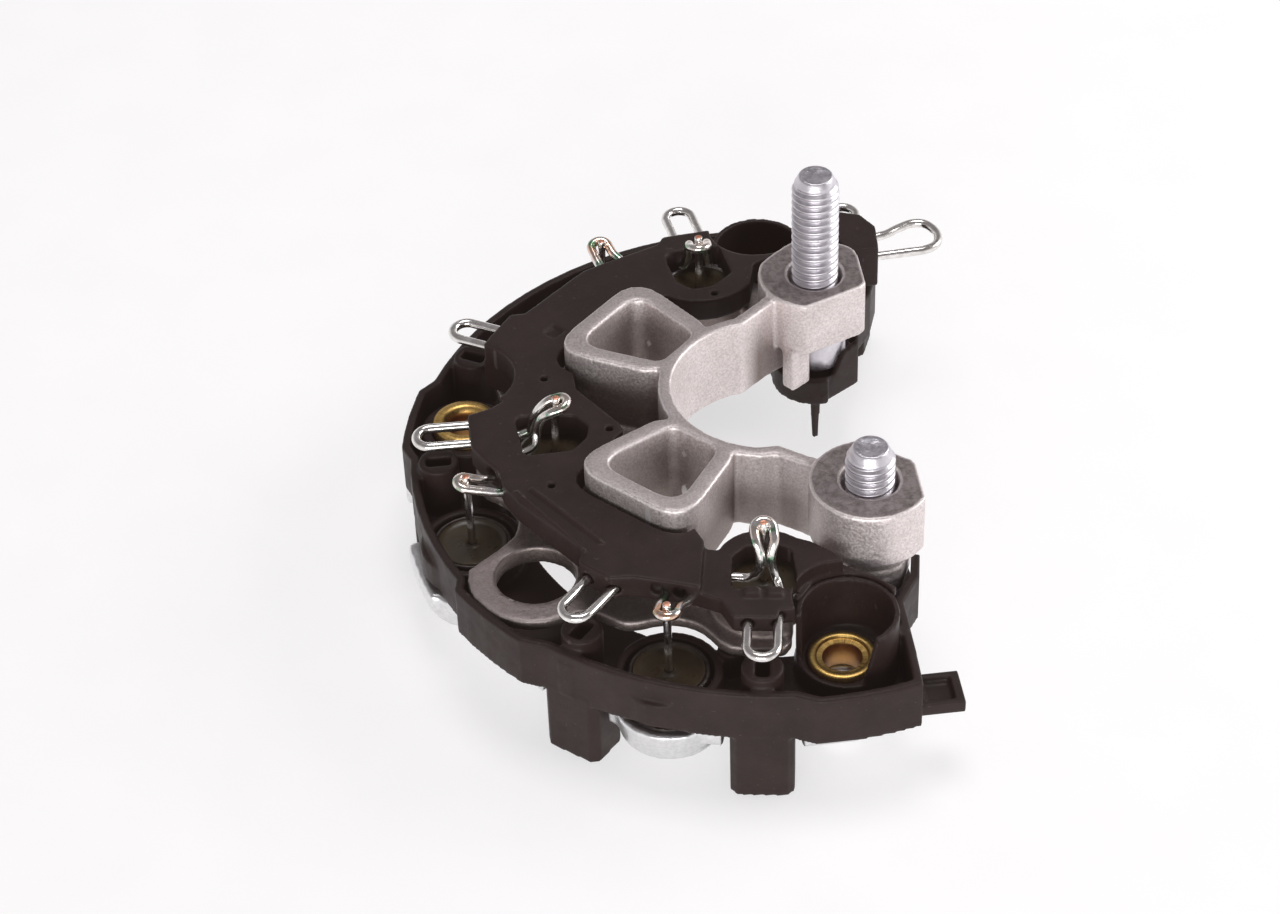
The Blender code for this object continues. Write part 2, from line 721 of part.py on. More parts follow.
BACK_EDGE = [
    (2.5, 43.8), (0, 44.3), (-1.6, 47.5), (-11.8, 46.5), (-13, 44.5), (-21.3, 41.3), (-26.3, 39.1),
    (-29.1, 36.6), (-37.4, 28.8), (-39.9, 28.8), (-43.8, 23.4), (-44.9, 21.6),
]
LEFT_EDGE = [
    (-42.7, 6.4), (-45.2, 4.7), (-49.1, 3.4), (-49.1, -4.6), (-47.2, -8.4), (-45.4, -11), (-44.9, -14.8),
    (-42.9, -19.2), (-34.1, -32.3), (-35, -34.5), (-30.7, -38.9), (-27, -39.2), (-24.8, -40), (-18, -42.7),
    (-14.4, -45), (-13, -49.1), (-6.4, -50.2), (-5.8, -48.5), (-3, -48.6), (4, -50), (11, -46), (10, -41.5),
    (5.6, -36.5), (1.2, -33.8),
]
INNER_EDGE = [
    (-15, -33.2), (-18, -24), (-27, -13), (-26.3, -6.2), (-24.5, -4.4), (-24.9, -2.3), (-30.9, 7.4),
    (-31, 12), (-27, 16), (-18, 24), (-13.5, 29.6),
]
BRIDGE_EDGE = [
    (2.7, 36.5), (5, 37.6), (16, 37.6), (19, 36), (25, 36), (26.2, 44.2), (24.6, 45.6), (15, 49.4),
    (13, 46), (12, 44), (6, 44),
]
WINDOWS = (
    [
        (-11.2, -35.5), (-8.9, -33.6), (-4.4, -33.6), (-1.9, -35.5), (-2.1, -41.4), (-3, -44.1),
        (-12.5, -42.7),
    ],
    [(-12, 41.8), (-11.8, 38.4), (-10.9, 33.4), (-8.6, 31.1), (-5, 31.5), (-1.4, 34.7), (-2.5, 42.7)],
    [(-41.6, 1.6), (-40.9, -8.1), (-33.1, -7.9), (-30.6, -5.1), (-29.9, -2.3), (-32, 0.6), (-38.4, 1.6)],
)
PIN_HOLES = ((-35.9, 10.8), (-26.7, -3.5), (-37.3, -16), (-5.1, 29.3))
PIN_HOLE_RADIUS = 0.65
RIBS = (((-43.1, -16.9), (-33.8, -32.3)), ((-40.6, -16.6), (-30.9, -30.9)))
RIB_HEIGHT = 0.6
RIB_WIDTH = 0.6
BLOCK_TOP = 32.0
BLOCK_BOTTOM = CHIMNEY_TOP + 2 * CLEARANCE


def plate_outline():
    hollow = arc(BUSHES[1], SEAT_RING_RADIUS + SEAT_ROOM, 62, -52, 10)
    front_arc = arc(POSITIVE_DIODES[1], 7.6, 40, 150, 8)
    back_arc = arc(POSITIVE_DIODES[2], 10.3, 215, 320, 8)
    outline = BACK_EDGE + hollow + LEFT_EDGE + front_arc + INNER_EDGE + back_arc + BRIDGE_EDGE
    return rounded(outline, [0.6] * len(outline), steps=2)


def plate_joined():
    """The end block and the ribs."""
    joined = [slab("end_block", [BRIDGE_EDGE[3:8] + [(16.5, 44)]], BLOCK_BOTTOM, BLOCK_TOP)]
    for number, (start, end) in enumerate(RIBS):
        away = (end[0] - start[0], end[1] - start[1])
        middle = ((start[0] + end[0]) / 2, (start[1] + end[1]) / 2)
        turn = math.degrees(math.atan2(away[1], away[0]))
        size = (math.hypot(*away), RIB_WIDTH)
        rib_top = CONNECTION_TOP + RIB_HEIGHT
        joined.append(block(f"rib_{number}", middle, size, turn, CONNECTION_TOP - 1, rib_top))
    return joined


def plate_holes():
    low, high = CONNECTION_BOTTOM - 1, CONNECTION_TOP + 2
    holes = []
    for number, window in enumerate(WINDOWS):
        shape = rounded(window, [1.2] * len(window), steps=3)
        holes.append(slab(f"window_{number}", [shape], low, high))
    deep = CONNECTION_TOP - 2
    for number, centre in enumerate(PIN_HOLES):
        holes.append(cylinder(f"pin_hole_{number}", centre, PIN_HOLE_RADIUS, deep, high, sides=12))
    walls = rounded(offset(POCKET, [w + 0.7 for w in POCKET_WALLS]), [r + 2 for r in POCKET_ROUNDS])
    under, over = BLOCK_BOTTOM - 1, BLOCK_TOP + 1
    room = BOSS_RADIUS + 2 * CLEARANCE
    for number, flip in enumerate((list, mirrored)):
        centre = (BOSS_PLACE[0], BOSS_PLACE[1] * (1, -1)[number])
        holes += [
            slab(f"pocket_clearance_{number}", [flip(walls)], low, CASTING_TOP),
            cylinder(f"boss_clearance_{number}", centre, room, under, over),
        ]
    for number in (0, 2):
        tube_room = TUBE_RADIUS + CLEARANCE
        holes.append(cylinder(f"tube_room_{number}", BUSHES[number], tube_room, under, over))
    return holes + wire_bores()


def connection_plate():
    body = slab("connection_plate", [plate_outline()], CONNECTION_BOTTOM, CONNECTION_TOP, PLASTIC)
    combine(body, "UNION", *plate_joined())
    combine(body, "DIFFERENCE", *plate_holes())
    merge_flats(body)


# Wires

def hairpin(path, side, turn=HAIRPIN_TURN, turn_steps=5):
    """A wire that runs along the path, turns round at its end and comes back beside it."""
    path = [np.array(p, float) for p in path]
    side = np.array(side, float) / np.linalg.norm(side)
    ahead = path[-1] - path[-2]
    ahead /= np.linalg.norm(ahead)
    out = [p + side * turn for p in path]
    back = [p - side * turn for p in reversed(path)]
    bend = []
    for step in range(1, turn_steps):
        angle = math.pi * step / turn_steps
        bend.append(path[-1] + side * turn * math.cos(angle) + ahead * turn * math.sin(angle))
    return out + bend + back


def phase_loop_path(number):
    angle = LOOP_ANGLES[number]
    half = LOOP_WIDTH / 2 - WIRE_RADIUS
    root = LOOP_ROOTS[number] - BORE_DEPTH + CLEARANCE
    tip = LOOP_TIP - WIRE_RADIUS - half
    path = [(*polar(radius, angle), WIRE_LEVEL) for radius in (root, tip)]
    return hairpin(path, (*polar(1, angle + 90), 0), half, 8)


SENSE_LOOP = [
    (23.2, 44.0), (26.5, 44.4), (29.5, 46.0), (32.2, 47.1), (34.6, 46.4), (36.0, 43.4), (35.4, 40.6),
    (33.2, 39.2), (29.5, 38.9), (23.2, 38.5),
]


def joint_path(kind, number):
    """The wire that runs from the plate round a diode's lead and back."""
    lead = np.array((POSITIVE_DIODES if kind == "positive" else NEGATIVE_DIODES)[number])
    start = np.array(JOINT_STARTS[kind][number])
    run = lead - start
    run /= np.linalg.norm(run)
    if kind == "positive":
        near = (*(lead - run * 1.9), 34.2)
        middle = [(*start, 28.9), (*(start + run * 3.6), 29.1), near, (*(lead + run * 0.3), 35.3)]
    else:
        middle = [(*start, 28.9), (*(start + run * 3), 29.0), (*(lead + run * 0.2), 29.9)]
    return hairpin(middle, (-run[1], run[0], 0))


def wire_paths():
    """The path of every bent wire, by its name."""
    paths = {}
    for number in range(len(LOOP_ANGLES)):
        paths[f"phase_loop_{number + 1}"] = phase_loop_path(number)
    paths["sense_loop"] = [(x, y, WIRE_LEVEL) for x, y in SENSE_LOOP]
    for kind, starts in JOINT_STARTS.items():
        for number in range(len(starts)):
            paths[f"{kind}_diode_joint_{number + 1}"] = joint_path(kind, number)
    return paths


def wire_bores():
    """Blind bores where the wires enter the connection plate."""
    bores = []
    for name, path in wire_paths().items():
        for number, (start, after) in enumerate(((path[0], path[1]), (path[-1], path[-2]))):
            start, after = np.array(start), np.array(after)
            along = (after - start) / np.linalg.norm(after - start)
            ends = (start - along * CLEARANCE, start + along * BORE_LENGTH)
            bores.append(rod(f"{name}_bore_{number}", *ends, WIRE_RADIUS + CLEARANCE))
    return bores


def rod(name, start, end, radius):
    """A round bar between two points, as a cutter."""
    start, end = np.array(start) * MM, np.array(end) * MM
    length = np.linalg.norm(end - start)
    shape = bmesh.new()
    wide = radius * MM
    bmesh.ops.create_cone(shape, cap_ends=True, segments=8, radius1=wide, radius2=wide, depth=length)
    obj = from_bmesh(name, shape, None)
    obj.location = (start + end) / 2
    along = (end - start) / length
    obj.rotation_euler = (0, math.acos(along[2]), math.atan2(along[1], along[0]))
    return obj


def wires():
    for name, path in wire_paths().items():
        wire(name, path, WIRE_RADIUS, TINNED)


# Diodes, bushes and studs

def diode(kind, number, centre, top, depth, lead_top):
    bottom = top - depth
    floor = top - SEAL_DEPTH - CLEARANCE
    inner = CUP_RADIUS - CUP_WALL
    bore = LEAD_RADIUS + CLEARANCE
    cup = [
        (0, floor), (inner, floor), (inner, top - 0.3), (inner + 0.3, top), (CUP_RADIUS - 0.3, top),
        (CUP_RADIUS, top - 0.3), (CUP_RADIUS, bottom + 0.6), (CUP_RADIUS - 0.6, bottom), (0, bottom),
    ]
    turned(f"{kind}_diode_cup_{number}", centre, cup, CUP, 32)
    rim = inner - CLEARANCE
    seal_top, seal_bottom = top - 0.05, floor + CLEARANCE
    seal = [(bore, seal_top), (rim, seal_top), (rim, seal_bottom), (bore, seal_bottom)]
    turned(f"{kind}_diode_seal_{number}", centre, seal, POTTING, 32)
    lead = [(*centre, floor + CLEARANCE), (*centre, lead_top)]
    wire(f"{kind}_diode_lead_{number}", lead, LEAD_RADIUS, TINNED)


def diodes():
    for number, centre in enumerate(POSITIVE_DIODES, 1):
        diode("positive", number, centre, COLLAR_TOP, POSITIVE_CUP_DEPTH, POSITIVE_LEAD_TOP)
    for number, centre in enumerate(NEGATIVE_DIODES, 1):
        diode("negative", number, centre, NEGATIVE_CUP_TOP, CUP_DEPTH, NEGATIVE_LEAD_TOP)


def screw_bushes():
    bottom = SINK_TOP + CLEARANCE
    for number, (centre, top) in enumerate(zip(BUSHES, BUSH_TOPS), 1):
        profile = [
            (BUSH_BORE + BUSH_CHAMFER, top),
            (BUSH_RADIUS, top),
            (BUSH_RADIUS, bottom),
            (BUSH_BORE, bottom),
            (BUSH_BORE, top - BUSH_CHAMFER),
        ]
        turned(f"screw_bush_{number}", centre, profile, BRASS)


def stud(name, centre, seat, head_height, top):
    """A press-in stud whose head lies below the seat."""
    head_top = seat - CLEARANCE
    tip = STUD_RADIUS - STUD_TIP_RADIUS
    profile = [
        (0, top),
        (STUD_TIP_RADIUS, top),
        (STUD_RADIUS, top - tip),
        (STUD_RADIUS, head_top),
        (STUD_HEAD_RADIUS, head_top),
        (STUD_HEAD_RADIUS, head_top - head_height + 0.4),
        (STUD_HEAD_RADIUS - 0.4, head_top - head_height),
        (0, head_top - head_height),
    ]
    turned(name, centre, profile, ZINC)


def studs():
    front_boss = (BOSS_PLACE[0], -BOSS_PLACE[1])
    boss_bottom = BOSS_TOP - BOSS_HEIGHT
    stud("long_stud", BOSS_PLACE, boss_bottom, LONG_HEAD_HEIGHT, LONG_STUD_TOP)
    seat = LOWER_BOSS_BOTTOM + SHORT_HEAD_HEIGHT + CLEARANCE
    stud("short_stud", front_boss, seat, SHORT_HEAD_HEIGHT, SHORT_STUD_TOP)


insulator_housing()
negative_heatsink()
positive_heatsink()
connection_plate()
wires()
diodes()
screw_bushes()
studs()
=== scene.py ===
"""Looks of the alternator rectifier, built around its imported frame.

Plan positions are in millimetres from the axis of the ring, and heights from the floor.
"""

import math

import bmesh
import bpy
import numpy as np
from mathutils import Matrix, Vector


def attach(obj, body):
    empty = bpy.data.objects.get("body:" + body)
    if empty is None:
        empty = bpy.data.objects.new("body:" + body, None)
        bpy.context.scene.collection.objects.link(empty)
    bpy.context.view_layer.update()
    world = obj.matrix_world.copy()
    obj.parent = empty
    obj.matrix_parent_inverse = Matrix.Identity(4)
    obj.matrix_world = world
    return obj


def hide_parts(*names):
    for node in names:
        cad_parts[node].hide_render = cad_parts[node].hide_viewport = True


MM = 0.001

# Sizes of the frame that the pieces here follow
RING_X = 12.017
RING_Y = 0.802
LOOP_ANGLES = (68.2, 98.2, 148.8, 178.2, 229.4, 260.2)
LOOP_ROOTS = (50.3, 47.6, 47.4, 49.0, 48.3, 49.9)
LOOP_TIP = 58.5
LOOP_WIDTH = 6.2
WIRE_RADIUS = 0.775
WIRE_LEVEL = 28.3
LEAD_RADIUS = 0.65
CUP_RADIUS = 6.4
CUP_TOPS = {"positive": 26.4, "negative": 17.6}
CUP_DEPTHS = {"positive": 6.6, "negative": 10.2}
DIODES = {
    "positive": ((-35.5, -2.3), (-6.6, -37.6), (-6.6, 37.6)),
    "negative": ((-50.4, -12.3), (-22.7, -46.3), (-22.7, 46.3)),
}
JOINT_STARTS = {
    "positive": ((-43.2, -2.3), (-7.8, -45.0), (-10.6, 43.6)),
    "negative": ((-43.3, -10.6), (-21.4, -38.3), (-21.4, 38.3)),
}
HAIRPIN_TURN = 1.73
BUSHES = ((4.2, -46.8), (-49.3, 13.8), (4.2, 46.8))
BUSH_TOPS = (17.4, 21.3, 17.4)
BUSH_RADIUS = 5.4
BUSH_BORE = 2.9
BACK_BOSS = (11.7, 26.8)
FRONT_BOSS = (BACK_BOSS[0], -BACK_BOSS[1])
STUD_RADIUS = 3.95
THREAD_PITCH = 1.4

# The camera that was fitted to the photo, in metres and degrees
CAMERA_PLACE = (-0.047183, -0.397198, 0.3614)
CAMERA_AHEAD = (0.0717, 0.7582, -0.6480)
CAMERA_YAW = -5.4
CAMERA_ROLL = -2.2
LENS = 90
SENSOR_WIDTH = 36

# The studio
BLACK, WHITE = (0, 0, 0), (1, 1, 1)
BLACK_LIFT = (0.008, 0.0055, 0.005)
LOW_SKY = (0.86, 0.85, 0.86, 1)
HIGH_SKY = (0.24, 0.228, 0.232, 1)
SKY_STRENGTH = 0.95
LIT_POINT = (0, 0, 0.02)
FLOOR_GLOW = 0.61

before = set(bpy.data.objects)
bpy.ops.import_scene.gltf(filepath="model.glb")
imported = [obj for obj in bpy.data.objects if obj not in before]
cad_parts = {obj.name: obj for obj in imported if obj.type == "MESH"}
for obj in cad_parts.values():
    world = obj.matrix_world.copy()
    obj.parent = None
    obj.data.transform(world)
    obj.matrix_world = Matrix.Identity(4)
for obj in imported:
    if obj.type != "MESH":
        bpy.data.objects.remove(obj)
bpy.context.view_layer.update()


# Objects and meshes

def add_object(name, data):
    obj = bpy.data.objects.new(name, data)
    bpy.context.scene.collection.objects.link(obj)
    return obj


def mesh_of(name, shape):
    """A mesh from a bmesh, which is freed."""
    mesh = bpy.data.meshes.new(name)
    shape.to_mesh(mesh)
    shape.free()
    return mesh


def apply_modifiers(obj):
    """Gives the object the mesh that its modifiers make."""
    graph = bpy.context.evaluated_depsgraph_get()
    made = bpy.data.meshes.new_from_object(obj.evaluated_get(graph))
    before = obj.data
    obj.modifiers.clear()
    obj.data = made
    bpy.data.meshes.remove(before)
    made.name = obj.name


# Camera, light and floor

def add_camera():
    ahead = Vector(CAMERA_AHEAD).normalized()
    yaw, roll = math.radians(CAMERA_YAW), math.radians(CAMERA_ROLL)
    level = Vector((math.cos(yaw), math.sin(yaw), 0))
    level = (level - ahead * level.dot(ahead)).normalized()
    upward = level.cross(ahead)
    right = level * math.cos(roll) + upward * math.sin(roll)
    up = upward * math.cos(roll) - level * math.sin(roll)
    data = bpy.data.cameras.new("camera")
    data.lens = LENS
    data.sensor_width = SENSOR_WIDTH
    data.clip_start = 0.01
    camera = add_object("camera", data)
    camera.matrix_world = Matrix([*zip(right, up, -ahead, CAMERA_PLACE), (0, 0, 0, 1)])
    bpy.context.scene.camera = camera


def lift_blacks():
    """The standard view, with its blacks as slightly raised as in the photo."""
    view = bpy.context.scene.view_settings
    view.view_transform = "Standard"
    view.use_curve_mapping = True
    for curve, black in zip(view.curve_mapping.curves, BLACK_LIFT):
        curve.points[0].location = (0, black)
    view.curve_mapping.update()


def add_sky():
    """A room that is bright near the floor and dim overhead."""
    world = bpy.data.worlds.new("studio")
    world.use_nodes = True
    tree = world.node_tree
    place = tree.nodes.new("ShaderNodeTexCoord").outputs["Generated"]
    height = tree.nodes.new("ShaderNodeSeparateXYZ")
    tree.links.new(place, height.inputs["Vector"])
    sky = tree.nodes.new("ShaderNodeValToRGB")
    tree.links.new(height.outputs["Z"], sky.inputs["Fac"])
    low, high = sky.color_ramp.elements
    low.position = 0.1
    low.color = LOW_SKY
    high.position = 0.55
    high.color = HIGH_SKY
    background = tree.nodes["Background"]
    tree.links.new(sky.outputs["Color"], background.inputs["Color"])
    background.inputs["Strength"].default_value = SKY_STRENGTH
    bpy.context.scene.world = world


def add_softbox(name, place, size, power):
    """An area light in metres and watts that faces the part."""
    data = bpy.data.lights.new(name, "AREA")
    data.shape = "RECTANGLE"
    data.size, data.size_y = size
    data.energy = power
    light = add_object(name, data)
    light.location = place
    toward = Vector(LIT_POINT) - Vector(place)
    light.rotation_euler = toward.to_track_quat("-Z", "Y").to_euler()


def add_floor():
    shape = bmesh.new()
    bmesh.ops.create_grid(shape, x_segments=8, y_segments=8, size=2)
    floor = add_object("floor", mesh_of("floor", shape))
    paint = Paint("floor_card", specular=0.1)
    grain = paint.noise(60, 4)
    paint.colour(grain, (0.3, (0.40, 0.385, 0.395)), (0.7, (0.42, 0.405, 0.415)))
    paint.set("Roughness", 0.8)
    paint.set("Emission Color", WHITE)
    paint.set("Emission Strength", FLOOR_GLOW)
    floor.data.materials.append(paint.material)


# Materials

class Paint:
    """A procedural material in the making."""

    def __init__(self, name, metallic=0.0, specular=0.5):
        self.material = bpy.data.materials.new(name)
        self.material.use_nodes = True
        self.tree = self.material.node_tree
        self.shader = self.tree.nodes["Principled BSDF"]
        self.set("Metallic", metallic)
        self.set("Specular IOR Level", specular)
        self.place = self.tree.nodes.new("ShaderNodeTexCoord").outputs["Object"]

    def feed(self, socket, value):
        """Links a socket to the output of a node, or sets its value."""
        if isinstance(value, bpy.types.NodeSocket):
            self.tree.links.new(value, socket)
        elif socket.type == "RGBA":
            socket.default_value = (*value, 1)
        else:
            socket.default_value = value

    def set(self, socket, value):
        self.feed(self.shader.inputs[socket], value)

    def node(self, kind, inputs, **settings):
        made = self.tree.nodes.new(kind)
        for name, value in settings.items():
            setattr(made, name, value)
        for name, value in inputs.items():
            self.feed(made.inputs[name], value)
        return made

    def noise(self, scale, detail=3, roughness=0.5, place=None):
        """Noise whose scale is in features per metre."""
        inputs = {"Vector": place or self.place, "Scale": scale, "Detail": detail}
        inputs["Roughness"] = roughness
        return self.node("ShaderNodeTexNoise", inputs).outputs["Fac"]

    def ramp(self, value, *stops):
        """Colours over a value, from two stops of a position and a colour."""
        made = self.node("ShaderNodeValToRGB", {"Fac": value})
        for element, (position, colour) in zip(made.color_ramp.elements, stops):
            element.position = position
            element.color = (*colour, 1)
        return made.outputs["Color"]

    def mask(self, value, low, high):
        """From black to white between two values."""
        return self.ramp(value, (low, BLACK), (high, WHITE))

    def mix(self, factor, a, b, blend="MIX"):
        made = self.node("ShaderNodeMix", {}, data_type="RGBA", blend_type=blend)
        inputs = {socket.identifier: socket for socket in made.inputs}
        for name, value in (("Factor_Float", factor), ("A_Color", a), ("B_Color", b)):
            self.feed(inputs[name], value)
        return next(s for s in made.outputs if s.identifier == "Result_Color")

    def scale_to(self, value, low, high, new_low, new_high):
        inputs = {"Value": value, "From Min": low, "From Max": high}
        inputs.update({"To Min": new_low, "To Max": new_high})
        return self.node("ShaderNodeMapRange", inputs).outputs["Result"]

    def over(self, length, start, end, most=1):
        """From 0 at the start to the most at the end, both in millimetres."""
        return self.scale_to(length, start * MM, end * MM, 0, most)

    def maths(self, operation, a, b):
        return self.node("ShaderNodeMath", {0: a, 1: b}, operation=operation).outputs["Value"]

    def times(self, a, b):
        return self.maths("MULTIPLY", a, b)

    def distance(self, a, b=(0, 0, 0)):
        made = self.node("ShaderNodeVectorMath", {0: a, 1: b}, operation="DISTANCE")
        return made.outputs["Value"]

    def plan(self):
        """The place with its height left out."""
        inputs = {0: self.place, 1: (1, 1, 0)}
        return self.node("ShaderNodeVectorMath", inputs, operation="MULTIPLY").outputs["Vector"]

    def part_of(self, vector, axis):
        return self.node("ShaderNodeSeparateXYZ", {"Vector": vector}).outputs[axis]

    def geometry(self, output):
        return self.node("ShaderNodeNewGeometry", {}).outputs[output]

    def edges(self, low, high):
        """White along the sharper outer edges of a fine mesh."""
        return self.scale_to(self.geometry("Pointiness"), low, high, 0, 1)

    def upward(self, low, high, most=1):
        """From 0 to the most as a face turns upward."""
        return self.scale_to(self.part_of(self.geometry("Normal"), "Z"), low, high, 0, most)

    def colour(self, value, *stops):
        self.set("Base Color", self.ramp(value, *stops))

    def roughness(self, noise, low, high):
        """Roughness between two values over the range that noise mostly takes."""
        self.set("Roughness", self.scale_to(noise, 0.3, 0.7, low, high))

    def bump(self, height, depth):
        """A bump whose full height is the depth in millimetres."""
        inputs = {"Height": height, "Distance": depth * MM}
        self.set("Normal", self.node("ShaderNodeBump", inputs).outputs["Normal"])


def cast_metal():
    """Blasted cast aluminium with machined tops, painted highlights on its edges, and painted shade
    on upward faces and low down outside the ring.
    """
    paint = Paint("cast_metal", metallic=0.88)
    clouds = paint.noise(140, 4, 0.6)
    grain = paint.noise(2600, 4, 0.6)
    skin = paint.ramp(clouds, (0.3, (0.74, 0.68, 0.67)), (0.7, (0.86, 0.80, 0.795)))
    # Painted shade: dark brown low down in the pockets outside the ring, on its side away from the
    # bosses.
    away = paint.distance(paint.plan(), (RING_X * MM, RING_Y * MM, 0))
    outside = paint.over(away, 16.2, 18.5)
    behind = paint.over(paint.part_of(paint.place, "X"), 18, 13)
    pocket_shade = paint.over(paint.part_of(paint.place, "Z"), 33.5, 25, 0.8)
    pocket_shade = paint.times(pocket_shade, paint.times(outside, behind))
    skin = paint.mix(pocket_shade, skin, (0.20, 0.155, 0.135))
    # Painted shade: faces that point upward are darkened toward grey-brown.
    skin = paint.mix(paint.upward(0.75, 0.95, 0.6), skin, (0.34, 0.295, 0.30))
    specks = paint.ramp(grain, (0.36, (0.78, 0.76, 0.75)), (0.62, (1.06, 1.05, 1.045)))
    skin = paint.mix(1.0, skin, specks, "MULTIPLY")
    # Painted highlight: paler colour along the sharper edges.
    edge_highlight = paint.times(paint.edges(0.52, 0.6), 0.75)
    skin = paint.mix(edge_highlight, skin, (0.93, 0.89, 0.885))
    high = paint.over(paint.part_of(paint.place, "Z"), 34.75, 34.9)
    machined = paint.times(paint.upward(0.985, 0.997), high)
    spots = paint.noise(900, 5, 0.65)
    pits = paint.ramp(spots, (0.34, (0.15, 0.125, 0.124)), (0.58, (0.29, 0.25, 0.25)))
    paint.set("Base Color", paint.mix(machined, skin, pits))
    paint.roughness(grain, 0.42, 0.58)
    relief = paint.maths("ADD", grain, paint.times(paint.noise(900), 1.4))
    paint.bump(relief, 0.055)
    return paint.material


def bright_metal():
    paint = Paint("bright_metal", metallic=1.0)
    grain = paint.noise(1500, 4, 0.6)
    paint.colour(grain, (0.3, (0.70, 0.70, 0.70)), (0.7, (0.84, 0.84, 0.845)))
    paint.roughness(paint.noise(500), 0.28, 0.42)
    paint.bump(grain, 0.02)
    return paint.material


def black_plastic():
    """Warm black moulded plastic with a fine matt skin, dusty, with painted highlights on its
    edges.
    """
    paint = Paint("black_moulding", specular=0.22)
    clouds = paint.noise(180, 4, 0.6)
    skin = paint.ramp(clouds, (0.3, (0.0150, 0.0080, 0.0070)), (0.72, (0.0245, 0.0142, 0.0127)))
    dust = paint.mask(paint.noise(1500, 2, 0.4), 0.70, 0.76)
    skin = paint.mix(paint.times(dust, 0.08), skin, (0.30, 0.26, 0.22))
    # Painted highlight: paler colour along the sharper edges.
    edge_highlight = paint.times(paint.edges(0.54, 0.66), 0.4)
    paint.set("Base Color", paint.mix(edge_highlight, skin, (0.11, 0.09, 0.088)))
    paint.roughness(paint.noise(420, 4, 0.6), 0.42, 0.56)
    relief = paint.maths("ADD", paint.noise(2600, 3, 0.6), paint.times(paint.noise(600), 1.2))
    paint.bump(relief, 0.022)
    return paint.material


def soldered(paint, skin, place, copper):
    """The skin with copper patches near a place and green flux patches further out."""
    reach = 4.0
    away = paint.distance(paint.place, place)
    near = paint.over(away, reach, 0.45 * reach)
    patches = paint.mask(paint.noise(420, 2), 0.42, 0.50)
    tint = paint.times(near, paint.times(patches, copper))
    skin = paint.mix(tint, skin, (0.80, 0.42, 0.23))
    wide = paint.over(away, 3.4 * reach, reach)
    flux = paint.times(wide, paint.mask(paint.noise(330, 3, 0.55), 0.53, 0.60))
    return paint.mix(paint.times(flux, 0.8), skin, (0.05, 0.26, 0.12))


def tinned_wire(name, solder_place=None, copper=0.0):
    """Bright tinned wire, stained round the place where it is soldered."""
    paint = Paint(name, metallic=1.0)
    streaks = paint.noise(700, 4, 0.6)
    skin = paint.ramp(streaks, (0.3, (0.66, 0.63, 0.60)), (0.68, (0.93, 0.91, 0.89)))
    if solder_place:
        skin = soldered(paint, skin, solder_place, copper)
    paint.set("Base Color", skin)
    paint.roughness(paint.noise(900), 0.12, 0.26)
    paint.bump(paint.noise(1300), 0.02)
    return paint.material


def grained_metal(name, scale, dark, light, low_roughness, high_roughness):
    """Bare metal with one grain in its colour, gloss and relief."""
    paint = Paint(name, metallic=1.0)
    grain = paint.noise(scale, 4, 0.6)
    paint.colour(grain, (0.3, dark), (0.7, light))
    paint.roughness(grain, low_roughness, high_roughness)
    paint.bump(grain, 0.03)
    return paint.material


def zinc(name, scale, dark, light, depth):
    paint = Paint(name, metallic=1.0)
    paint.colour(paint.noise(scale, 5, 0.65), (0.3, dark), (0.7, light))
    paint.roughness(paint.noise(1500), 0.30, 0.46)
    paint.bump(paint.noise(1700, 4, 0.6), depth)
    return paint.material


def brass():
    """Turned brass with scratches that run out from the bore, and a brown bore."""
    paint = Paint("turned_brass", metallic=1.0)
    x, y = paint.part_of(paint.place, "X"), paint.part_of(paint.place, "Y")
    turn = paint.maths("ARCTAN2", y, x)
    radius = paint.distance(paint.place)
    across = {"X": paint.times(turn, 0.016), "Y": paint.times(radius, 0.35), "Z": 0.0}
    spread = paint.node("ShaderNodeCombineXYZ", across).outputs["Vector"]
    scratches = paint.noise(1600, 4, 0.65, spread)
    skin = paint.ramp(scratches, (0.32, (0.46, 0.27, 0.07)), (0.66, (0.84, 0.58, 0.21)))
    shade = paint.ramp(paint.noise(260, 4, 0.6), (0.3, (0.72, 0.68, 0.60)), (0.7, WHITE))
    skin = paint.mix(1.0, skin, shade, "MULTIPLY")
    bore = paint.over(paint.distance(paint.plan()), 3.3, 3.0, 0.8)
    paint.set("Base Color", paint.mix(bore, skin, (0.36, 0.16, 0.05)))
    paint.roughness(scratches, 0.26, 0.44)
    paint.bump(scratches, 0.03)
    return paint.material


def potting():
    paint = Paint("potting_resin")
    clouds = paint.noise(180)
    paint.colour(clouds, (0.3, (0.034, 0.023, 0.010)), (0.72, (0.062, 0.045, 0.020)))
    paint.roughness(paint.noise(500, 2), 0.26, 0.36)
    paint.bump(paint.noise(300, 2), 0.03)
    return paint.material


# Points, and the faces between rings of points

def at(x, y, z):
    """A point of the frame in metres, from millimetres round the axis of the ring."""
    return np.array([(x + RING_X) * MM, (y + RING_Y) * MM, z * MM])


def polar(radius, degrees):
    angle = math.radians(degrees)
    return radius * math.cos(angle), radius * math.sin(angle)


def unit(vector):
    return vector / np.linalg.norm(vector)


def around(sides):
    """The angles of points round a circle, in radians."""
    return [2 * math.pi * k / sides for k in range(sides)]


def upright(origin, radius, angle, level):
    """A point round an upright axis, in metres."""
    return origin + np.array([radius * math.cos(angle), radius * math.sin(angle), level]) * MM


def add_points(verts, points):
    """Adds the points to the list and gives their numbers in it."""
    start = len(verts)
    verts += points
    return list(range(start, len(verts)))


def bands(rings):
    """The faces between each ring and the next. A ring may be a single point."""
    faces = []
    for upper, lower in zip(rings, rings[1:]):
        for k in range(max(len(upper), len(lower))):
            a, b = upper[k % len(upper)], upper[(k + 1) % len(upper)]
            c, d = lower[(k + 1) % len(lower)], lower[k % len(lower)]
            faces.append(tuple(dict.fromkeys((a, b, c, d))))
    return faces


# Pieces made of points and faces

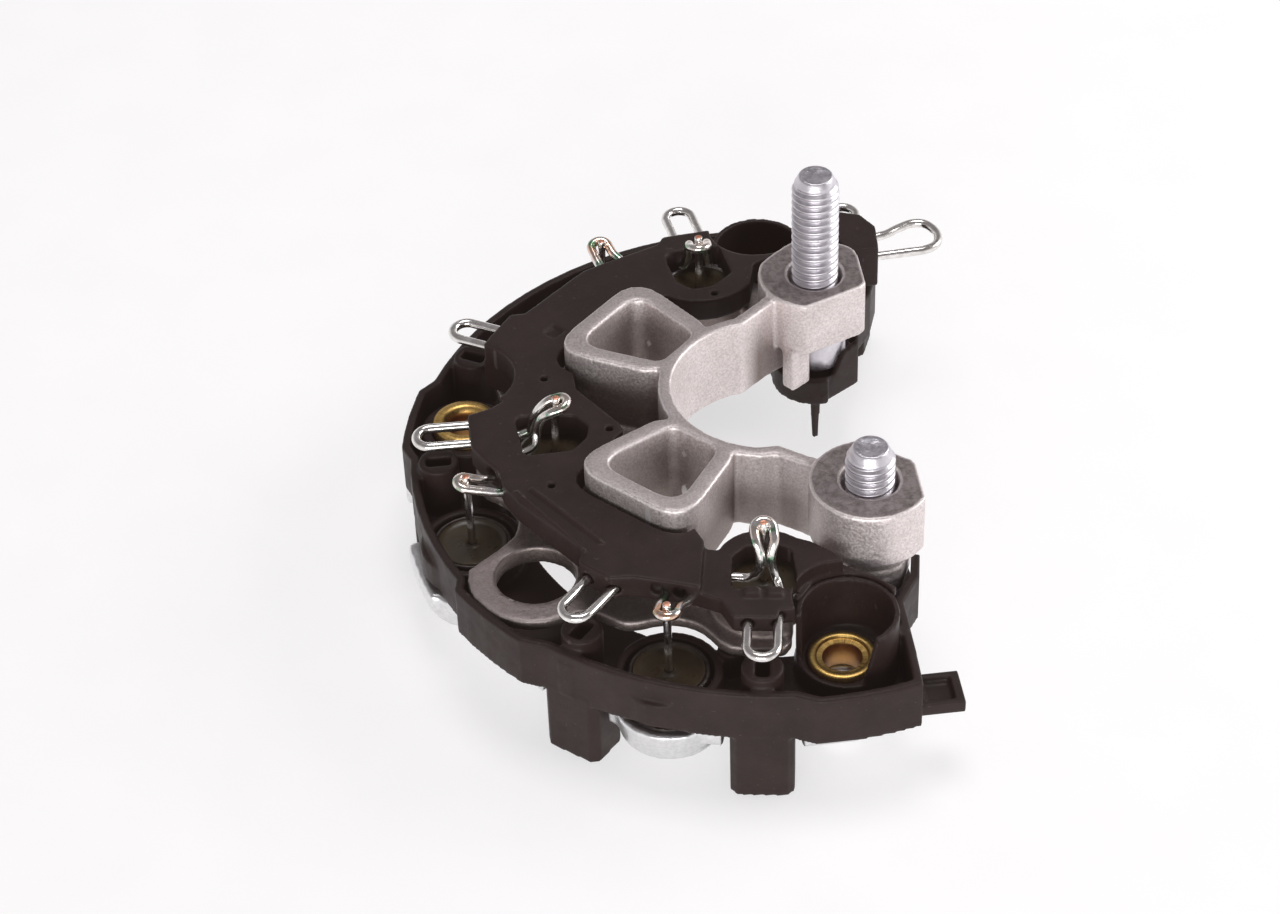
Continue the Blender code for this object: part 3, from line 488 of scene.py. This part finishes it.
def piece(name, verts, faces, finishes, nodes, origin=(0, 0, 0), finish_of=None):
    """An object from points in metres in the frame, which rides and stands for its CAD nodes."""
    mesh = bpy.data.meshes.new(name)
    mesh.from_pydata([tuple(v - np.array(origin)) for v in verts], [], faces)
    for finish in finishes:
        mesh.materials.append(finish)
    if finish_of:
        mesh.polygons.foreach_set("material_index", finish_of)
    shape = bmesh.new()
    shape.from_mesh(mesh)
    bmesh.ops.recalc_face_normals(shape, faces=shape.faces)
    shape.to_mesh(mesh)
    shape.free()
    mesh.shade_smooth()
    mesh.set_sharp_from_angle(angle=math.radians(50))
    obj = add_object(name, mesh)
    obj.location = origin
    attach(obj, "root")
    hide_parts(*nodes)


# Wires

WIRE_SIDES = 20
WIRE_END_EASE = 0.12
LOOP_ROOT_DEPTH = 1.7
SENSE_LOOP = [
    (22.3, 43.9), (26.5, 44.4), (29.5, 46.0), (32.2, 47.05), (34.6, 46.35),
    (35.95, 43.4), (35.35, 40.6), (33.2, 39.2), (29.5, 38.9), (22.4, 38.5),
]

# The two strands of the wire at each diode's lead, measured from the lead at the wires' level
JOINTS = {
    "positive_diode_joint_1": (
        [
            (-7.7, 2.3, 0), (-5.4, 2.5, 0.1), (-3.6, 2.6, 0.9), (-3.2, 2.0, 3.1),
            (-2.3, 1.6, 5.5), (-0.7, 1.45, 7.3), (0.9, 1.45, 7.8),
        ],
        [
            (-7.7, -2.3, 0), (-5.3, -2.2, 0.1), (-3.5, -1.7, 0.9), (-2.9, -0.6, 2.9),
            (-2.1, -0.7, 5.3), (-0.6, -1.45, 7.1), (0.9, -1.5, 7.7),
        ],
    ),
    "positive_diode_joint_2": (
        [
            (-7, -1.1, 0), (-4.7, -1.3, 0.1), (-2.7, -1.9, 0.3), (-1.2, -2.5, 2.1),
            (-0.9, -2.3, 4.9), (-1.4, -1.4, 6.9), (-1.5, 0.1, 8),
        ],
        [
            (1.8, -7.7, 0), (1.7, -4.8, 0.1), (1.4, -3.3, 0.7), (0.9, -2.6, 2.5),
            (0.8, -2.3, 4.9), (1.4, -1.4, 6.9), (1.5, 0.1, 8),
        ],
    ),
    "positive_diode_joint_3": (
        [
            (-3.3, 5.8, 0.1), (-2.4, 3.4, 0.3), (-1.7, 2.7, 2.1),
            (-1.5, 2, 4.7), (-1.5, 1, 6.3), (-1.5, -0.2, 6.7),
        ],
        [
            (2.1, 6, 0.1), (2.1, 3.4, 0.3), (1.8, 2.8, 2.1),
            (1.5, 2, 4.7), (1.5, 1, 6.3), (1.5, -0.2, 6.7),
        ],
    ),
    "negative_diode_joint_1": (
        [(6.8, 3.7, 0), (4, 2.3, 0.3), (2, 1.5, 0.9), (-0.2, 1.45, 1.6)],
        [(7.6, -0.9, 0), (4.8, -1.4, 0.3), (2.5, -1.5, 0.9), (-0.2, -1.45, 1.6)],
    ),
    "negative_diode_joint_2": (
        [(0.7, 7.9, 0), (0.2, 4.5, 0.3), (-0.9, 2.1, 1), (-1.55, 0, 1.5)],
        [(5.5, 5.7, 0), (3.5, 2.9, 0.3), (2.2, 1.3, 1), (1.5, -0.3, 1.5)],
    ),
    "negative_diode_joint_3": (
        [(0, -8.4, 0), (-0.3, -4.7, 0.3), (-1, -2.1, 1), (-1.5, 0, 1.6)],
        [(4.3, -6.9, 0), (3.6, -3.3, 0.3), (2.2, -1.3, 1), (1.5, 0.3, 1.6)],
    ),
}

# The strength of the copper stain on the joints that show more of it than the others
COPPER_STAINS = {"negative_diode_joint_2": 0.85, "negative_diode_joint_3": 0.6}
FAINT_STAIN = 0.2

# The top ends of the leads, and how far below a cup's top they start
LEAD_TOPS = {
    "positive_diode_lead_1": (-34.95, -2.5, 37.5),
    "positive_diode_lead_2": (-6.6, -37.4, 37.6),
    "positive_diode_lead_3": (-6.6, 37.5, 36.8),
    "negative_diode_lead_1": (-50.6, -12.4, 31.3),
    "negative_diode_lead_2": (-22.8, -46.4, 31.3),
    "negative_diode_lead_3": (-22.4, 46.4, 31.3),
}
LEAD_START = 1.5


def smooth_path(points, steps):
    """A Catmull-Rom line through the points."""
    ends = [2 * points[0] - points[1]] + points + [2 * points[-1] - points[-2]]
    line = []
    for a, b, c, d in zip(ends, ends[1:], ends[2:], ends[3:]):
        for step in range(steps):
            t = step / steps
            bend = 2 * a - 5 * b + 4 * c - d
            twist = 3 * b - a - 3 * c + d
            line.append(0.5 * (2 * b + (c - a) * t + bend * t**2 + twist * t**3))
    return line + [points[-1]]


def tube(points, radius):
    """Verts and faces of a wire along the points, with slightly rounded ends."""
    side = unit(np.cross(unit(points[1] - points[0]), (0.3, 0.2, 0.9)))
    rows = []
    for i, here in enumerate(points):
        ahead = unit(points[min(i + 1, len(points) - 1)] - points[max(i - 1, 0)])
        side = unit(side - ahead * (side @ ahead))
        rows.append((here, ahead, side, radius))
    ease = radius * WIRE_END_EASE
    _, first_ahead, first_side, _ = rows[0]
    start = (points[0] - first_ahead * ease, first_ahead, first_side, radius - ease)
    end = (points[-1] + ahead * ease, ahead, side, radius - ease)
    verts, rings = [], []
    for here, ahead, side, size in [start, *rows, end]:
        other = np.cross(ahead, side)
        turns = [side * math.cos(angle) + other * math.sin(angle) for angle in around(WIRE_SIDES)]
        rings.append(add_points(verts, [here + turn * size for turn in turns]))
    return verts, bands(rings) + [tuple(rings[0])[::-1], tuple(rings[-1])]


def wire(name, points, radius, finishes, steps):
    """A wire through the points. The last finish is that of its two ends."""
    line = smooth_path([at(*p) for p in points], steps)
    verts, faces = tube(line, radius * MM)
    marks = [0] * (len(faces) - 2) + [len(finishes) - 1] * 2
    piece(name + "_wire", verts, faces, finishes, [name], finish_of=marks)


def hairpin(first, second, steps):
    """The line up one strand, round a half circle and back down the other."""
    (before_a, a), (before_b, b) = np.array(first[-2:]), np.array(second[-2:])
    side = (a - b) / 2
    ahead = (a - before_a) + (b - before_b)
    ahead -= side * (ahead @ side) / (side @ side)
    ahead *= np.linalg.norm(side) / np.linalg.norm(ahead)
    turns = [math.pi * step / steps for step in range(1, steps)]
    bend = [(a + b) / 2 + side * math.cos(turn) + ahead * math.sin(turn) for turn in turns]
    return first + [tuple(point) for point in bend] + second[::-1]


def add_phase_loops(finish):
    half = LOOP_WIDTH / 2 - WIRE_RADIUS
    for number, (angle, root) in enumerate(zip(LOOP_ANGLES, LOOP_ROOTS), 1):
        along, across = np.array(polar(1, angle)), np.array(polar(1, angle + 90))
        bend_start = LOOP_TIP - WIRE_RADIUS - half
        reaches = (root - LOOP_ROOT_DEPTH, root, (root + LOOP_TIP) / 2, bend_start)
        first, second = (
            [(*(along * reach + across * offset), WIRE_LEVEL) for reach in reaches]
            for offset in (half, -half)
        )
        wire(f"phase_loop_{number}", hairpin(first, second, 10), WIRE_RADIUS, [finish], steps=4)


def add_sense_loop(finish):
    points = [(x, y, WIRE_LEVEL) for x, y in SENSE_LOOP]
    wire("sense_loop", points, WIRE_RADIUS, [finish], steps=8)


def diode_of(name):
    """The kind and the plan position of the diode that a joint or lead belongs to."""
    kind, number = name.split("_")[0], int(name[-1])
    return kind, DIODES[kind][number - 1]


def add_joints():
    for name, strands in JOINTS.items():
        _, centre = diode_of(name)
        start = np.array((*centre, WIRE_LEVEL))
        first, second = ([tuple(start + point) for point in strand] for strand in strands)
        eye = np.mean([first[-1], second[-1]], axis=0)
        stain = COPPER_STAINS.get(name, FAINT_STAIN)
        finish = tinned_wire(f"soldered_{name}", tuple(at(*eye)), stain)
        wire(name, hairpin(first, second, 8), WIRE_RADIUS, [finish], steps=6)


def add_leads(finish, copper):
    """The diodes' head wires, which lean from the potting to their cut copper tops."""
    for name, top in LEAD_TOPS.items():
        kind, centre = diode_of(name)
        bottom = CUP_TOPS[kind] - LEAD_START
        x, y = (0.7 * low + 0.3 * high for low, high in zip(centre, top))
        middle = (x, y, (bottom + top[2]) / 2)
        wire(name, [(*centre, bottom), middle, top], LEAD_RADIUS, [finish, copper], steps=6)


# Turned pieces

TURNED_SIDES = 72
EASE_RADIUS = 0.2
EASE_STEPS = 4
CUP_WALL = 0.75
SEAL_HOLE = 0.72

# The rims of the bushes, as radii and depths below their tops, and their foot as radii and levels
DEEP_RIM = (
    (BUSH_BORE, 2.6), (2.95, 1.0), (3.15, 0.6), (4.0, 0.5),
    (4.1, 0.1), (4.2, 0), (5.15, 0), (BUSH_RADIUS, 0.25),
)
OPEN_RIM = (
    (BUSH_BORE, 2.2), (3.05, 1.0), (3.5, 0.3),
    (3.9, 0), (5.1, 0), (BUSH_RADIUS, 0.3),
)
BUSH_RIMS = (DEEP_RIM, OPEN_RIM, DEEP_RIM)
BUSH_FOOT = [(BUSH_RADIUS, 12.5), (5.2, 12.3), (3.1, 12.3), (BUSH_BORE, 12.5)]


def turned(name, centre, profile, finish, nodes, closed=False):
    """A profile of radii and levels turned about an upright axis. A radius of 0 is one point."""
    origin = at(*centre, 0)
    verts, rings = [], []
    for radius, level in profile:
        angles = around(TURNED_SIDES) if radius else [0]
        ring = [upright(origin, radius, angle, level) for angle in angles]
        rings.append(add_points(verts, ring))
    if closed:
        rings.append(rings[0])
    piece(name, verts, bands(rings), [finish], nodes, tuple(origin))


def rounded_profile(points):
    """The profile with its sharp corners eased."""
    eased = []
    for i, here in enumerate(points):
        here = np.array(here, float)
        if here[0] == 0 or i in (0, len(points) - 1):
            eased.append(tuple(here))
            continue
        before, after = np.array(points[i - 1]) - here, np.array(points[i + 1]) - here
        reach = min(EASE_RADIUS, 0.45 * np.linalg.norm(before), 0.45 * np.linalg.norm(after))
        start = here + unit(before) * reach
        end = here + unit(after) * reach
        for t in np.linspace(0, 1, EASE_STEPS + 1):
            eased.append(tuple((1 - t) ** 2 * start + 2 * t * (1 - t) * here + t * t * end))
    return eased


def cup_profile(top, depth):
    inner = CUP_RADIUS - CUP_WALL
    bottom = top - depth
    corners = [
        (0, top - 2.1), (inner, top - 2.1), (inner, top - 0.25), (inner + 0.25, top),
        (CUP_RADIUS - 0.25, top), (CUP_RADIUS, top - 0.3), (CUP_RADIUS, bottom + 0.8),
        (CUP_RADIUS - 0.8, bottom), (0, bottom),
    ]
    return rounded_profile(corners)


def seal_profile(cup_top):
    """The potting, which climbs a little up the lead and the cup's wall."""
    inner = CUP_RADIUS - CUP_WALL
    top, bottom = cup_top - 0.55, cup_top - 2.0
    return [
        (SEAL_HOLE, top + 0.38), (0.9, top + 0.16), (1.3, top + 0.03), (2.2, top),
        (inner - 1.1, top), (inner - 0.45, top + 0.1), (inner - 0.06, top + 0.4),
        (inner - 0.06, bottom), (SEAL_HOLE, bottom),
    ]


def add_diodes(cups, resin):
    for kind, places in DIODES.items():
        cup = cup_profile(CUP_TOPS[kind], CUP_DEPTHS[kind])
        seal = seal_profile(CUP_TOPS[kind])
        for number, centre in enumerate(places, 1):
            cup_node, seal_node = f"{kind}_diode_cup_{number}", f"{kind}_diode_seal_{number}"
            turned(f"{kind}_cup_{number}", centre, cup, cups[kind], [cup_node])
            turned(f"{kind}_seal_{number}", centre, seal, resin, [seal_node], True)


def add_bushes(finish):
    for number, (centre, top, rim) in enumerate(zip(BUSHES, BUSH_TOPS, BUSH_RIMS), 1):
        profile = [(radius, top - below) for radius, below in rim] + BUSH_FOOT
        turned(f"bush_{number}", centre, profile, finish, [f"screw_bush_{number}"], True)


# Studs

STUD_SIDES = 64
THREAD_DEPTH = 0.62
THREAD_STEP = 0.1
TIP_RADIUS = 2.74
TIP_LENGTH = 2.3


def stud_rows(head_bottom, head_top, top):
    """The radius, the level and the share of the thread's depth of each ring up a stud."""
    head = [(5.0, head_bottom), (5.3, head_bottom + 0.3), (5.3, head_top - 0.2)]
    head += [(5.1, head_top), (3.9, head_top)]
    rows = [(radius, level, 0.0) for radius, level in head]
    shoulder = top - TIP_LENGTH
    thread_end = shoulder + 1.4
    level = head_top
    while level < thread_end:
        taper = max(0, level - shoulder) * (STUD_RADIUS - TIP_RADIUS) / TIP_LENGTH
        share = min(1, max(0, (thread_end - level) / 1.6))
        rows.append((STUD_RADIUS - taper, level, share))
        level += THREAD_STEP
    tip = ((0.3, 0.55), (0.12, 0.2), (0, 0.06), (-0.15, 0))
    return rows + [(TIP_RADIUS + wider, top - below, 0.0) for wider, below in tip]


def thread_depth(level, turn, share):
    """The depth of the thread at a level and a part of a turn."""
    phase = (level / THREAD_PITCH - turn) % 1
    return THREAD_DEPTH * share * (0.5 - 0.5 * math.cos(2 * math.pi * phase)) ** 1.6


def add_stud(name, centre, head_bottom, head_top, top, finishes):
    """A stud with a rolled thread that runs out at its narrow tip, and a rough end face."""
    origin = at(*centre, 0)
    angles = around(STUD_SIDES)
    verts, rings = [], []
    for radius, level, share in stud_rows(head_bottom, head_top, top):
        ring = []
        for k, angle in enumerate(angles):
            depth = thread_depth(level, k / STUD_SIDES, share)
            ring.append(upright(origin, radius - depth, angle, level))
        rings.append(add_points(verts, ring))
    faces = bands(rings) + [tuple(rings[0])[::-1]]
    plated = len(faces)
    ends = [rings[-1]]
    for radius, lift in ((1.9, 0.03), (1.0, -0.03)):
        ring = []
        for angle in angles:
            wave = 0.05 * math.sin(3 * angle + radius * 2) * radius
            ring.append(upright(origin, radius, angle, top + lift + wave - 0.16))
        ends.append(add_points(verts, ring))
    faces += bands(ends) + [tuple(ends[-1])]
    marks = [0] * plated + [1] * (len(faces) - plated)
    piece(name + "_threaded", verts, faces, finishes, [name], tuple(origin), marks)


# Bodies added to and cut from the frame's meshes

MERGE_DISTANCE = 0.000002


def merged_copy(node):
    """The closed mesh of a CAD node, with its split corners joined."""
    shape = bmesh.new()
    shape.from_mesh(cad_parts[node].data)
    bmesh.ops.remove_doubles(shape, verts=shape.verts, dist=MERGE_DISTANCE)
    return shape


def add_ring(shape, rows):
    """Adds a closed body to the mesh from rows of points that wrap round it."""
    made = [[shape.verts.new(tuple(p)) for p in row] for row in rows]
    outlines = [made[0][::-1], made[-1]] + bands(made)
    faces = [shape.faces.new(outline) for outline in outlines]
    bmesh.ops.recalc_face_normals(shape, faces=faces)


def add_loft(shape, low, bottom, high, top):
    """Adds a body between an outline in plan at its bottom and another one at its top."""
    add_ring(shape, [[at(x, y, bottom) for x, y in low], [at(x, y, top) for x, y in high]])


def add_bar(shape, outline, bottom, top):
    """Adds an upright bar over an outline in plan."""
    add_loft(shape, outline, bottom, outline, top)


def arc(centre, radius, start, end, steps):
    turns = np.linspace(start, end, steps + 1)
    return [(centre[0] + x, centre[1] + y) for x, y in (polar(radius, turn) for turn in turns)]


def sector(centre, outer, inner, start, end, steps):
    """The outline of part of a ring."""
    return arc(centre, outer, start, end, steps) + arc(centre, inner, end, start, steps)


def turned_point(centre, x, y, degrees):
    """A point in plan from its place beside a turned centre."""
    c, s = polar(1, degrees)
    return centre[0] + c * x - s * y, centre[1] + s * x + c * y


def turned_box(centre, corners, degrees):
    """A box in plan from its two corners beside a turned centre."""
    (x0, y0), (x1, y1) = corners
    points = ((x0, y0), (x1, y0), (x1, y1), (x0, y1))
    return [turned_point(centre, x, y, degrees) for x, y in points]


def cut_bars(shape, bars):
    """The mesh with upright bars taken out of it."""
    body = add_object("cut", mesh_of("cut", shape))
    helpers = [body]
    for bar in bars:
        tool = bmesh.new()
        add_bar(tool, *bar)
        helper = add_object("bar", mesh_of("bar", tool))
        helpers.append(helper)
        step = body.modifiers.new("cut", "BOOLEAN")
        step.operation = "DIFFERENCE"
        step.solver = "EXACT"
        step.object = helper
    apply_modifiers(body)
    shape = bmesh.new()
    shape.from_mesh(body.data)
    for helper in helpers:
        mesh = helper.data
        bpy.data.objects.remove(helper)
        bpy.data.meshes.remove(mesh)
    return shape


def even_out(mesh, rounds, weight_of):
    """Smooths the mesh, at each point by its own weight from 0 to 1."""
    count = len(mesh.vertices)
    co = np.empty(count * 3, np.float64)
    mesh.vertices.foreach_get("co", co)
    co = co.reshape(-1, 3)
    pairs = np.empty(len(mesh.edges) * 2, np.int64)
    mesh.edges.foreach_get("vertices", pairs)
    a, b = pairs[::2], pairs[1::2]
    degree = np.bincount(a, minlength=count) + np.bincount(b, minlength=count)
    degree = np.maximum(degree, 1)
    weight = weight_of(co / MM - np.array([RING_X, RING_Y, 0]))
    for _ in range(rounds):
        mean = np.empty_like(co)
        for axis in range(3):
            mean[:, axis] = np.bincount(a, co[b, axis], count) + np.bincount(b, co[a, axis], count)
        co += (mean / degree[:, None] - co) * (0.5 * weight)[:, None]
    mesh.vertices.foreach_set("co", co.ravel())
    mesh.update()


def refined(name, node, shape, finish, voxel, rounds, weight_of, most):
    """A finer copy of a casting or moulding with its edges eased, of at most so many triangles."""
    bmesh.ops.recalc_face_normals(shape, faces=shape.faces)
    obj = add_object(name, mesh_of(name, shape))
    remesh = obj.modifiers.new("remesh", "REMESH")
    remesh.mode = "VOXEL"
    remesh.voxel_size = voxel * 1 * MM
    apply_modifiers(obj)
    even_out(obj.data, rounds, weight_of)
    triangles = 2 * len(obj.data.polygons)
    if triangles > most:
        thin = obj.modifiers.new("thin", "DECIMATE")
        thin.ratio = most / triangles
        apply_modifiers(obj)
    obj.data.materials.clear()
    obj.data.materials.append(finish)
    obj.data.shade_smooth()
    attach(obj, "root")
    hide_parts(node)


# The casting

# The wide lower part of the front boss, its flats as directions and distances, and its ribs
LOW_BOSS_RADIUS, LOW_BOSS_BORE = 8.2, 6.0
LOW_BOSS_FLATS = ((0, 6.3), (-25, 6.6))
LOW_BOSS_BOTTOM, LOW_BOSS_TOP = 17.5, 25.2
RIB_LEVELS = (18.6, 20.2, 21.8, 23.4)
RIB_HEIGHT = 0.8
RIB_GROWTH = 1.03
EDGE_STEP = 6

# How far from their axes the bosses and collars are rounded less, and where the collars start
BOSS_REACH = 11
COLLAR_REACH = 9
COLLAR_BOTTOM = 22


def low_boss_edge():
    """The outline of the low boss in plan, with its two flats."""
    edge = []
    for angle in range(0, 361, EDGE_STEP):
        radius = LOW_BOSS_RADIUS
        for direction, distance in LOW_BOSS_FLATS:
            lean = math.cos(math.radians(angle - direction))
            if lean > 0.1:
                radius = min(radius, distance / lean)
        x, y = polar(radius, angle)
        edge.append((FRONT_BOSS[0] + x, FRONT_BOSS[1] + y))
    return edge


def grown(points, centre, factor):
    """The outline scaled about a centre."""
    x0, y0 = centre
    return [(x0 + (x - x0) * factor, y0 + (y - y0) * factor) for x, y in points]


def positive_casting_shape():
    """The casting with a wide, ribbed low boss under its front boss, added as two half rings."""
    shape = merged_copy("positive_heatsink")
    edge = low_boss_edge()
    half = len(edge) // 2
    for start, end in ((0, half), (half, 2 * half)):
        outer = edge[start : end + 1]
        bore = arc(FRONT_BOSS, LOW_BOSS_BORE, end * EDGE_STEP, start * EDGE_STEP, half)
        add_bar(shape, outer + bore, LOW_BOSS_BOTTOM, LOW_BOSS_TOP)
        rib = grown(outer, FRONT_BOSS, RIB_GROWTH) + bore
        for level in RIB_LEVELS:
            add_bar(shape, rib, level, level + RIB_HEIGHT)
    return shape


def casting_weight(co):
    """Strong rounding on the pockets and the flange, light on the bosses and bores."""
    x, y, z = co.T
    weight = np.full(len(co), 0.75)
    for centre in (BACK_BOSS, FRONT_BOSS):
        away = np.hypot(x - centre[0], y - centre[1])
        weight = np.where(away < BOSS_REACH, 0.32, weight)
    for centre in DIODES["positive"]:
        away = np.hypot(x - centre[0], y - centre[1])
        weight = np.where((away < COLLAR_REACH) & (z > COLLAR_BOTTOM), 0.3, weight)
    return weight


def even(weight):
    return lambda co: np.full(len(co), weight)


# The mouldings

TUBE_CENTRES = ((4.9, -47.1), (4.9, 47.1))
TUBE_OUTER, TUBE_INNER = 7.95, 7.05
TUBE_BOTTOM, TUBE_TOP = 15.5, 26.7
FRONT_TUBE_LOW_TOP = 18
FLOOR_OUTER, FLOOR_INNER = 45.3, 42.5
FLOOR_BOTTOM, FLOOR_TOP = 12.3, 13.9
FIN_PLACE = (12.6, 20.0)
FIN_TURN = 33.7
FIN_THICKNESS = 1.0
PIN_PLACE = (10.9, 20.6)
PIN_TURN = 20
PIN_BOTTOM, PIN_TOP = 4.5, 13.2
ABOVE_PLATE = 33
SHROUD_OUTER, SHROUD_INNER = 10.1, 8.8
SHROUD_BOTTOM, SHROUD_TOP = 21.6, 27.5
WEB_BOTTOM, WEB_TOP = 25.7, 27.2
BORE_BOTTOM, BORE_TOP = 27.3, 30.4
BORE_START, BORE_LENGTH = -0.4, 1.9
BORE_HALF_WIDTH = 1.15


def housing_cuts():
    """The frame's thick tubes, its fin and pin, and the ring in front of the new fin."""
    front, _, back = BUSHES
    tubes = [(arc(place, 7.9, 0, 345, 23), 16.9, 27.5) for place in (front, back)]
    frame_fin, frame_turn = (12.9, 19.6), 19
    blade = turned_box(frame_fin, ((-1.3, -0.3), (7.2, 1.6)), frame_turn)
    foot = turned_box(frame_fin, ((4.7, -0.3), (7.2, 1.6)), frame_turn)
    pin = arc((10.9, 21.9), 1.3, 0, 330, 11)
    ring = turned_box(FIN_PLACE, ((0.4, -6), (9.5, 0.1)), FIN_TURN)
    return tubes + [(blade, 17.35, 23), (foot, 12.1, 17.4), (pin, 4, 12.25), (ring, 11, 24.5)]


def add_tubes(shape):
    """The thin tubes round two bushes. The front one is open outward, with a sloping edge."""
    front, back = TUBE_CENTRES
    low = sector(front, TUBE_OUTER, TUBE_INNER, -86, 180, 60)
    high = sector(front, TUBE_OUTER, TUBE_INNER, -64, 180, 60)
    add_loft(shape, low, TUBE_BOTTOM, high, TUBE_TOP)
    rest = sector(front, TUBE_OUTER, TUBE_INNER, 180, 285, 30)
    add_bar(shape, rest, TUBE_BOTTOM, FRONT_TUBE_LOW_TOP)
    for start in (0, 180):
        half = sector(back, TUBE_OUTER, TUBE_INNER, start, start + 180, 40)
        add_bar(shape, half, TUBE_BOTTOM, TUBE_TOP)


def add_fin(shape):
    """The thin upright fin below the back boss."""
    outline = [(-0.6, 12.5), (7.75, 12.5), (7.75, 21.4), (4.4, 20.8), (0.2, 14.3), (-0.6, 14.3)]
    rows = [
        [at(*turned_point(FIN_PLACE, along, depth, FIN_TURN), level) for along, level in outline]
        for depth in (0, FIN_THICKNESS)
    ]
    add_ring(shape, rows)


def add_pin(shape):
    """The flat pin under the arm, which narrows downward."""
    low = turned_box(PIN_PLACE, ((-0.5, -0.35), (0.5, 0.35)), PIN_TURN)
    high = turned_box(PIN_PLACE, ((-0.85, -0.5), (0.85, 0.5)), PIN_TURN)
    add_loft(shape, low, PIN_BOTTOM, high, PIN_TOP)


def housing_shape():
    """The housing with its wide floor, thin tubes, and the fin and pin at its arm."""
    shape = cut_bars(merged_copy("insulator_housing"), housing_cuts())
    floor = sector((0, 0), FLOOR_OUTER, FLOOR_INNER, 88, 272, 60)
    add_bar(shape, floor, FLOOR_BOTTOM, FLOOR_TOP)
    add_tubes(shape)
    add_fin(shape)
    add_pin(shape)
    return shape


def plate_cuts():
    """What the tubes, the narrow end, the low front, the corner at the web and a dent take away."""
    tubes = [(arc(centre, 8.15, 0, 350, 35), 22.5, ABOVE_PLATE) for centre in TUBE_CENTRES]
    end = [(24.2, 35), (24.8, 42.4), (22.8, 46.2), (14.9, 49.45), (16, 51), (28, 48), (29, 35)]
    front = [(-15.2, -32.6), (-17.3, -43.9), (-17.6, -52), (14, -52), (14, -30), (-8, -30)]
    corner = [(1.2, -33.8), (4.6, -37.2), (7.5, -42), (8, -50), (16, -50), (16, -33)]
    dent = turned_box((-33.1, 23.1), ((-1.3, -1.3), (1.3, 1.3)), 40)
    bottoms = ((end, 22), (front, 29.8), (corner, 22), (dent, 30.4))
    return tubes + [(outline, bottom, ABOVE_PLATE) for outline, bottom in bottoms]


def fill_bores(shape):
    """Closes the bores of the frame's joint wires, because the strands run elsewhere here."""
    for kind, leads in DIODES.items():
        for lead, start in zip(leads, JOINT_STARTS[kind]):
            run = unit(np.array(lead) - start)
            turn = math.degrees(math.atan2(run[1], run[0]))
            for side in (HAIRPIN_TURN, -HAIRPIN_TURN):
                near = np.array(start) + side * np.array([-run[1], run[0]]) + BORE_START * run
                corners = ((0, -BORE_HALF_WIDTH), (BORE_LENGTH, BORE_HALF_WIDTH))
                box = turned_box(near, corners, turn)
                add_bar(shape, box, BORE_BOTTOM, BORE_TOP)


def plate_shape():
    """The connection plate with its low part, its shroud, its web and its narrow end block."""
    shape = cut_bars(merged_copy("connection_plate"), plate_cuts())
    shroud = sector(BUSHES[1], SHROUD_OUTER, SHROUD_INNER, -44, 62, 24)
    add_bar(shape, shroud, SHROUD_BOTTOM, SHROUD_TOP)
    web = arc(TUBE_CENTRES[0], 8.05, 158, 20, 36)
    web += [(13.1, -43.4), (9.7, -39.8), (5.7, -37.0), (1.7, -35.0)]
    web += [(1.2, -38.0), (0.2, -41.0), (-1.5, -43.2)]
    add_bar(shape, web, WEB_BOTTOM, WEB_TOP)
    fill_bores(shape)
    return shape


def add_castings(metal, bright):
    refined(
        "positive_casting", "positive_heatsink", positive_casting_shape(), metal,
        voxel=0.36, rounds=9, weight_of=casting_weight, most=190000,
    )
    refined(
        "negative_casting", "negative_heatsink", merged_copy("negative_heatsink"), bright,
        voxel=0.5, rounds=8, weight_of=even(0.8), most=110000,
    )


def add_mouldings(plastic):
    refined(
        "housing", "insulator_housing", housing_shape(), plastic,
        voxel=0.3, rounds=2, weight_of=even(0.6), most=195000,
    )
    refined(
        "connection_moulding", "connection_plate", plate_shape(), plastic,
        voxel=0.28, rounds=2, weight_of=even(0.6), most=170000,
    )


# The scene

add_camera()
lift_blacks()
add_sky()
add_softbox("top_softbox", (0.05, 0.1, 0.8), (0.35, 0.3), 2.3)
add_softbox("right_softbox", (0.7, 0.1, 0.4), (0.5, 0.4), 3.0)
add_softbox("front_softbox", (-0.2, -0.9, 0.2), (0.7, 0.3), 5.0)
add_floor()

tinned = tinned_wire("tinned_wire")
cut_copper = grained_metal("cut_copper", 1800, (0.52, 0.20, 0.11), (0.86, 0.46, 0.33), 0.35, 0.55)
cup_metals = {
    "positive": grained_metal("matt_cup", 900, (0.36, 0.33, 0.32), (0.56, 0.52, 0.51), 0.34, 0.5),
    "negative": grained_metal(
        "blackened_cup", 900, (0.05, 0.042, 0.04), (0.11, 0.095, 0.09), 0.34, 0.5,
    ),
}
stud_zinc = [
    zinc("zinc_plate", 350, (0.54, 0.52, 0.56), (0.78, 0.75, 0.79), 0.03),
    zinc("zinc_end", 900, (0.34, 0.33, 0.37), (0.74, 0.71, 0.76), 0.09),
]

add_phase_loops(tinned)
add_sense_loop(tinned)
add_joints()
add_leads(tinned, cut_copper)
add_diodes(cup_metals, potting())
add_bushes(brass())
add_stud("long_stud", BACK_BOSS, 17.8, 24.4, 55.2, stud_zinc)
add_stud("short_stud", FRONT_BOSS, 17.5, 20.4, 41.6, stud_zinc)
add_castings(cast_metal(), bright_metal())
add_mouldings(black_plastic())
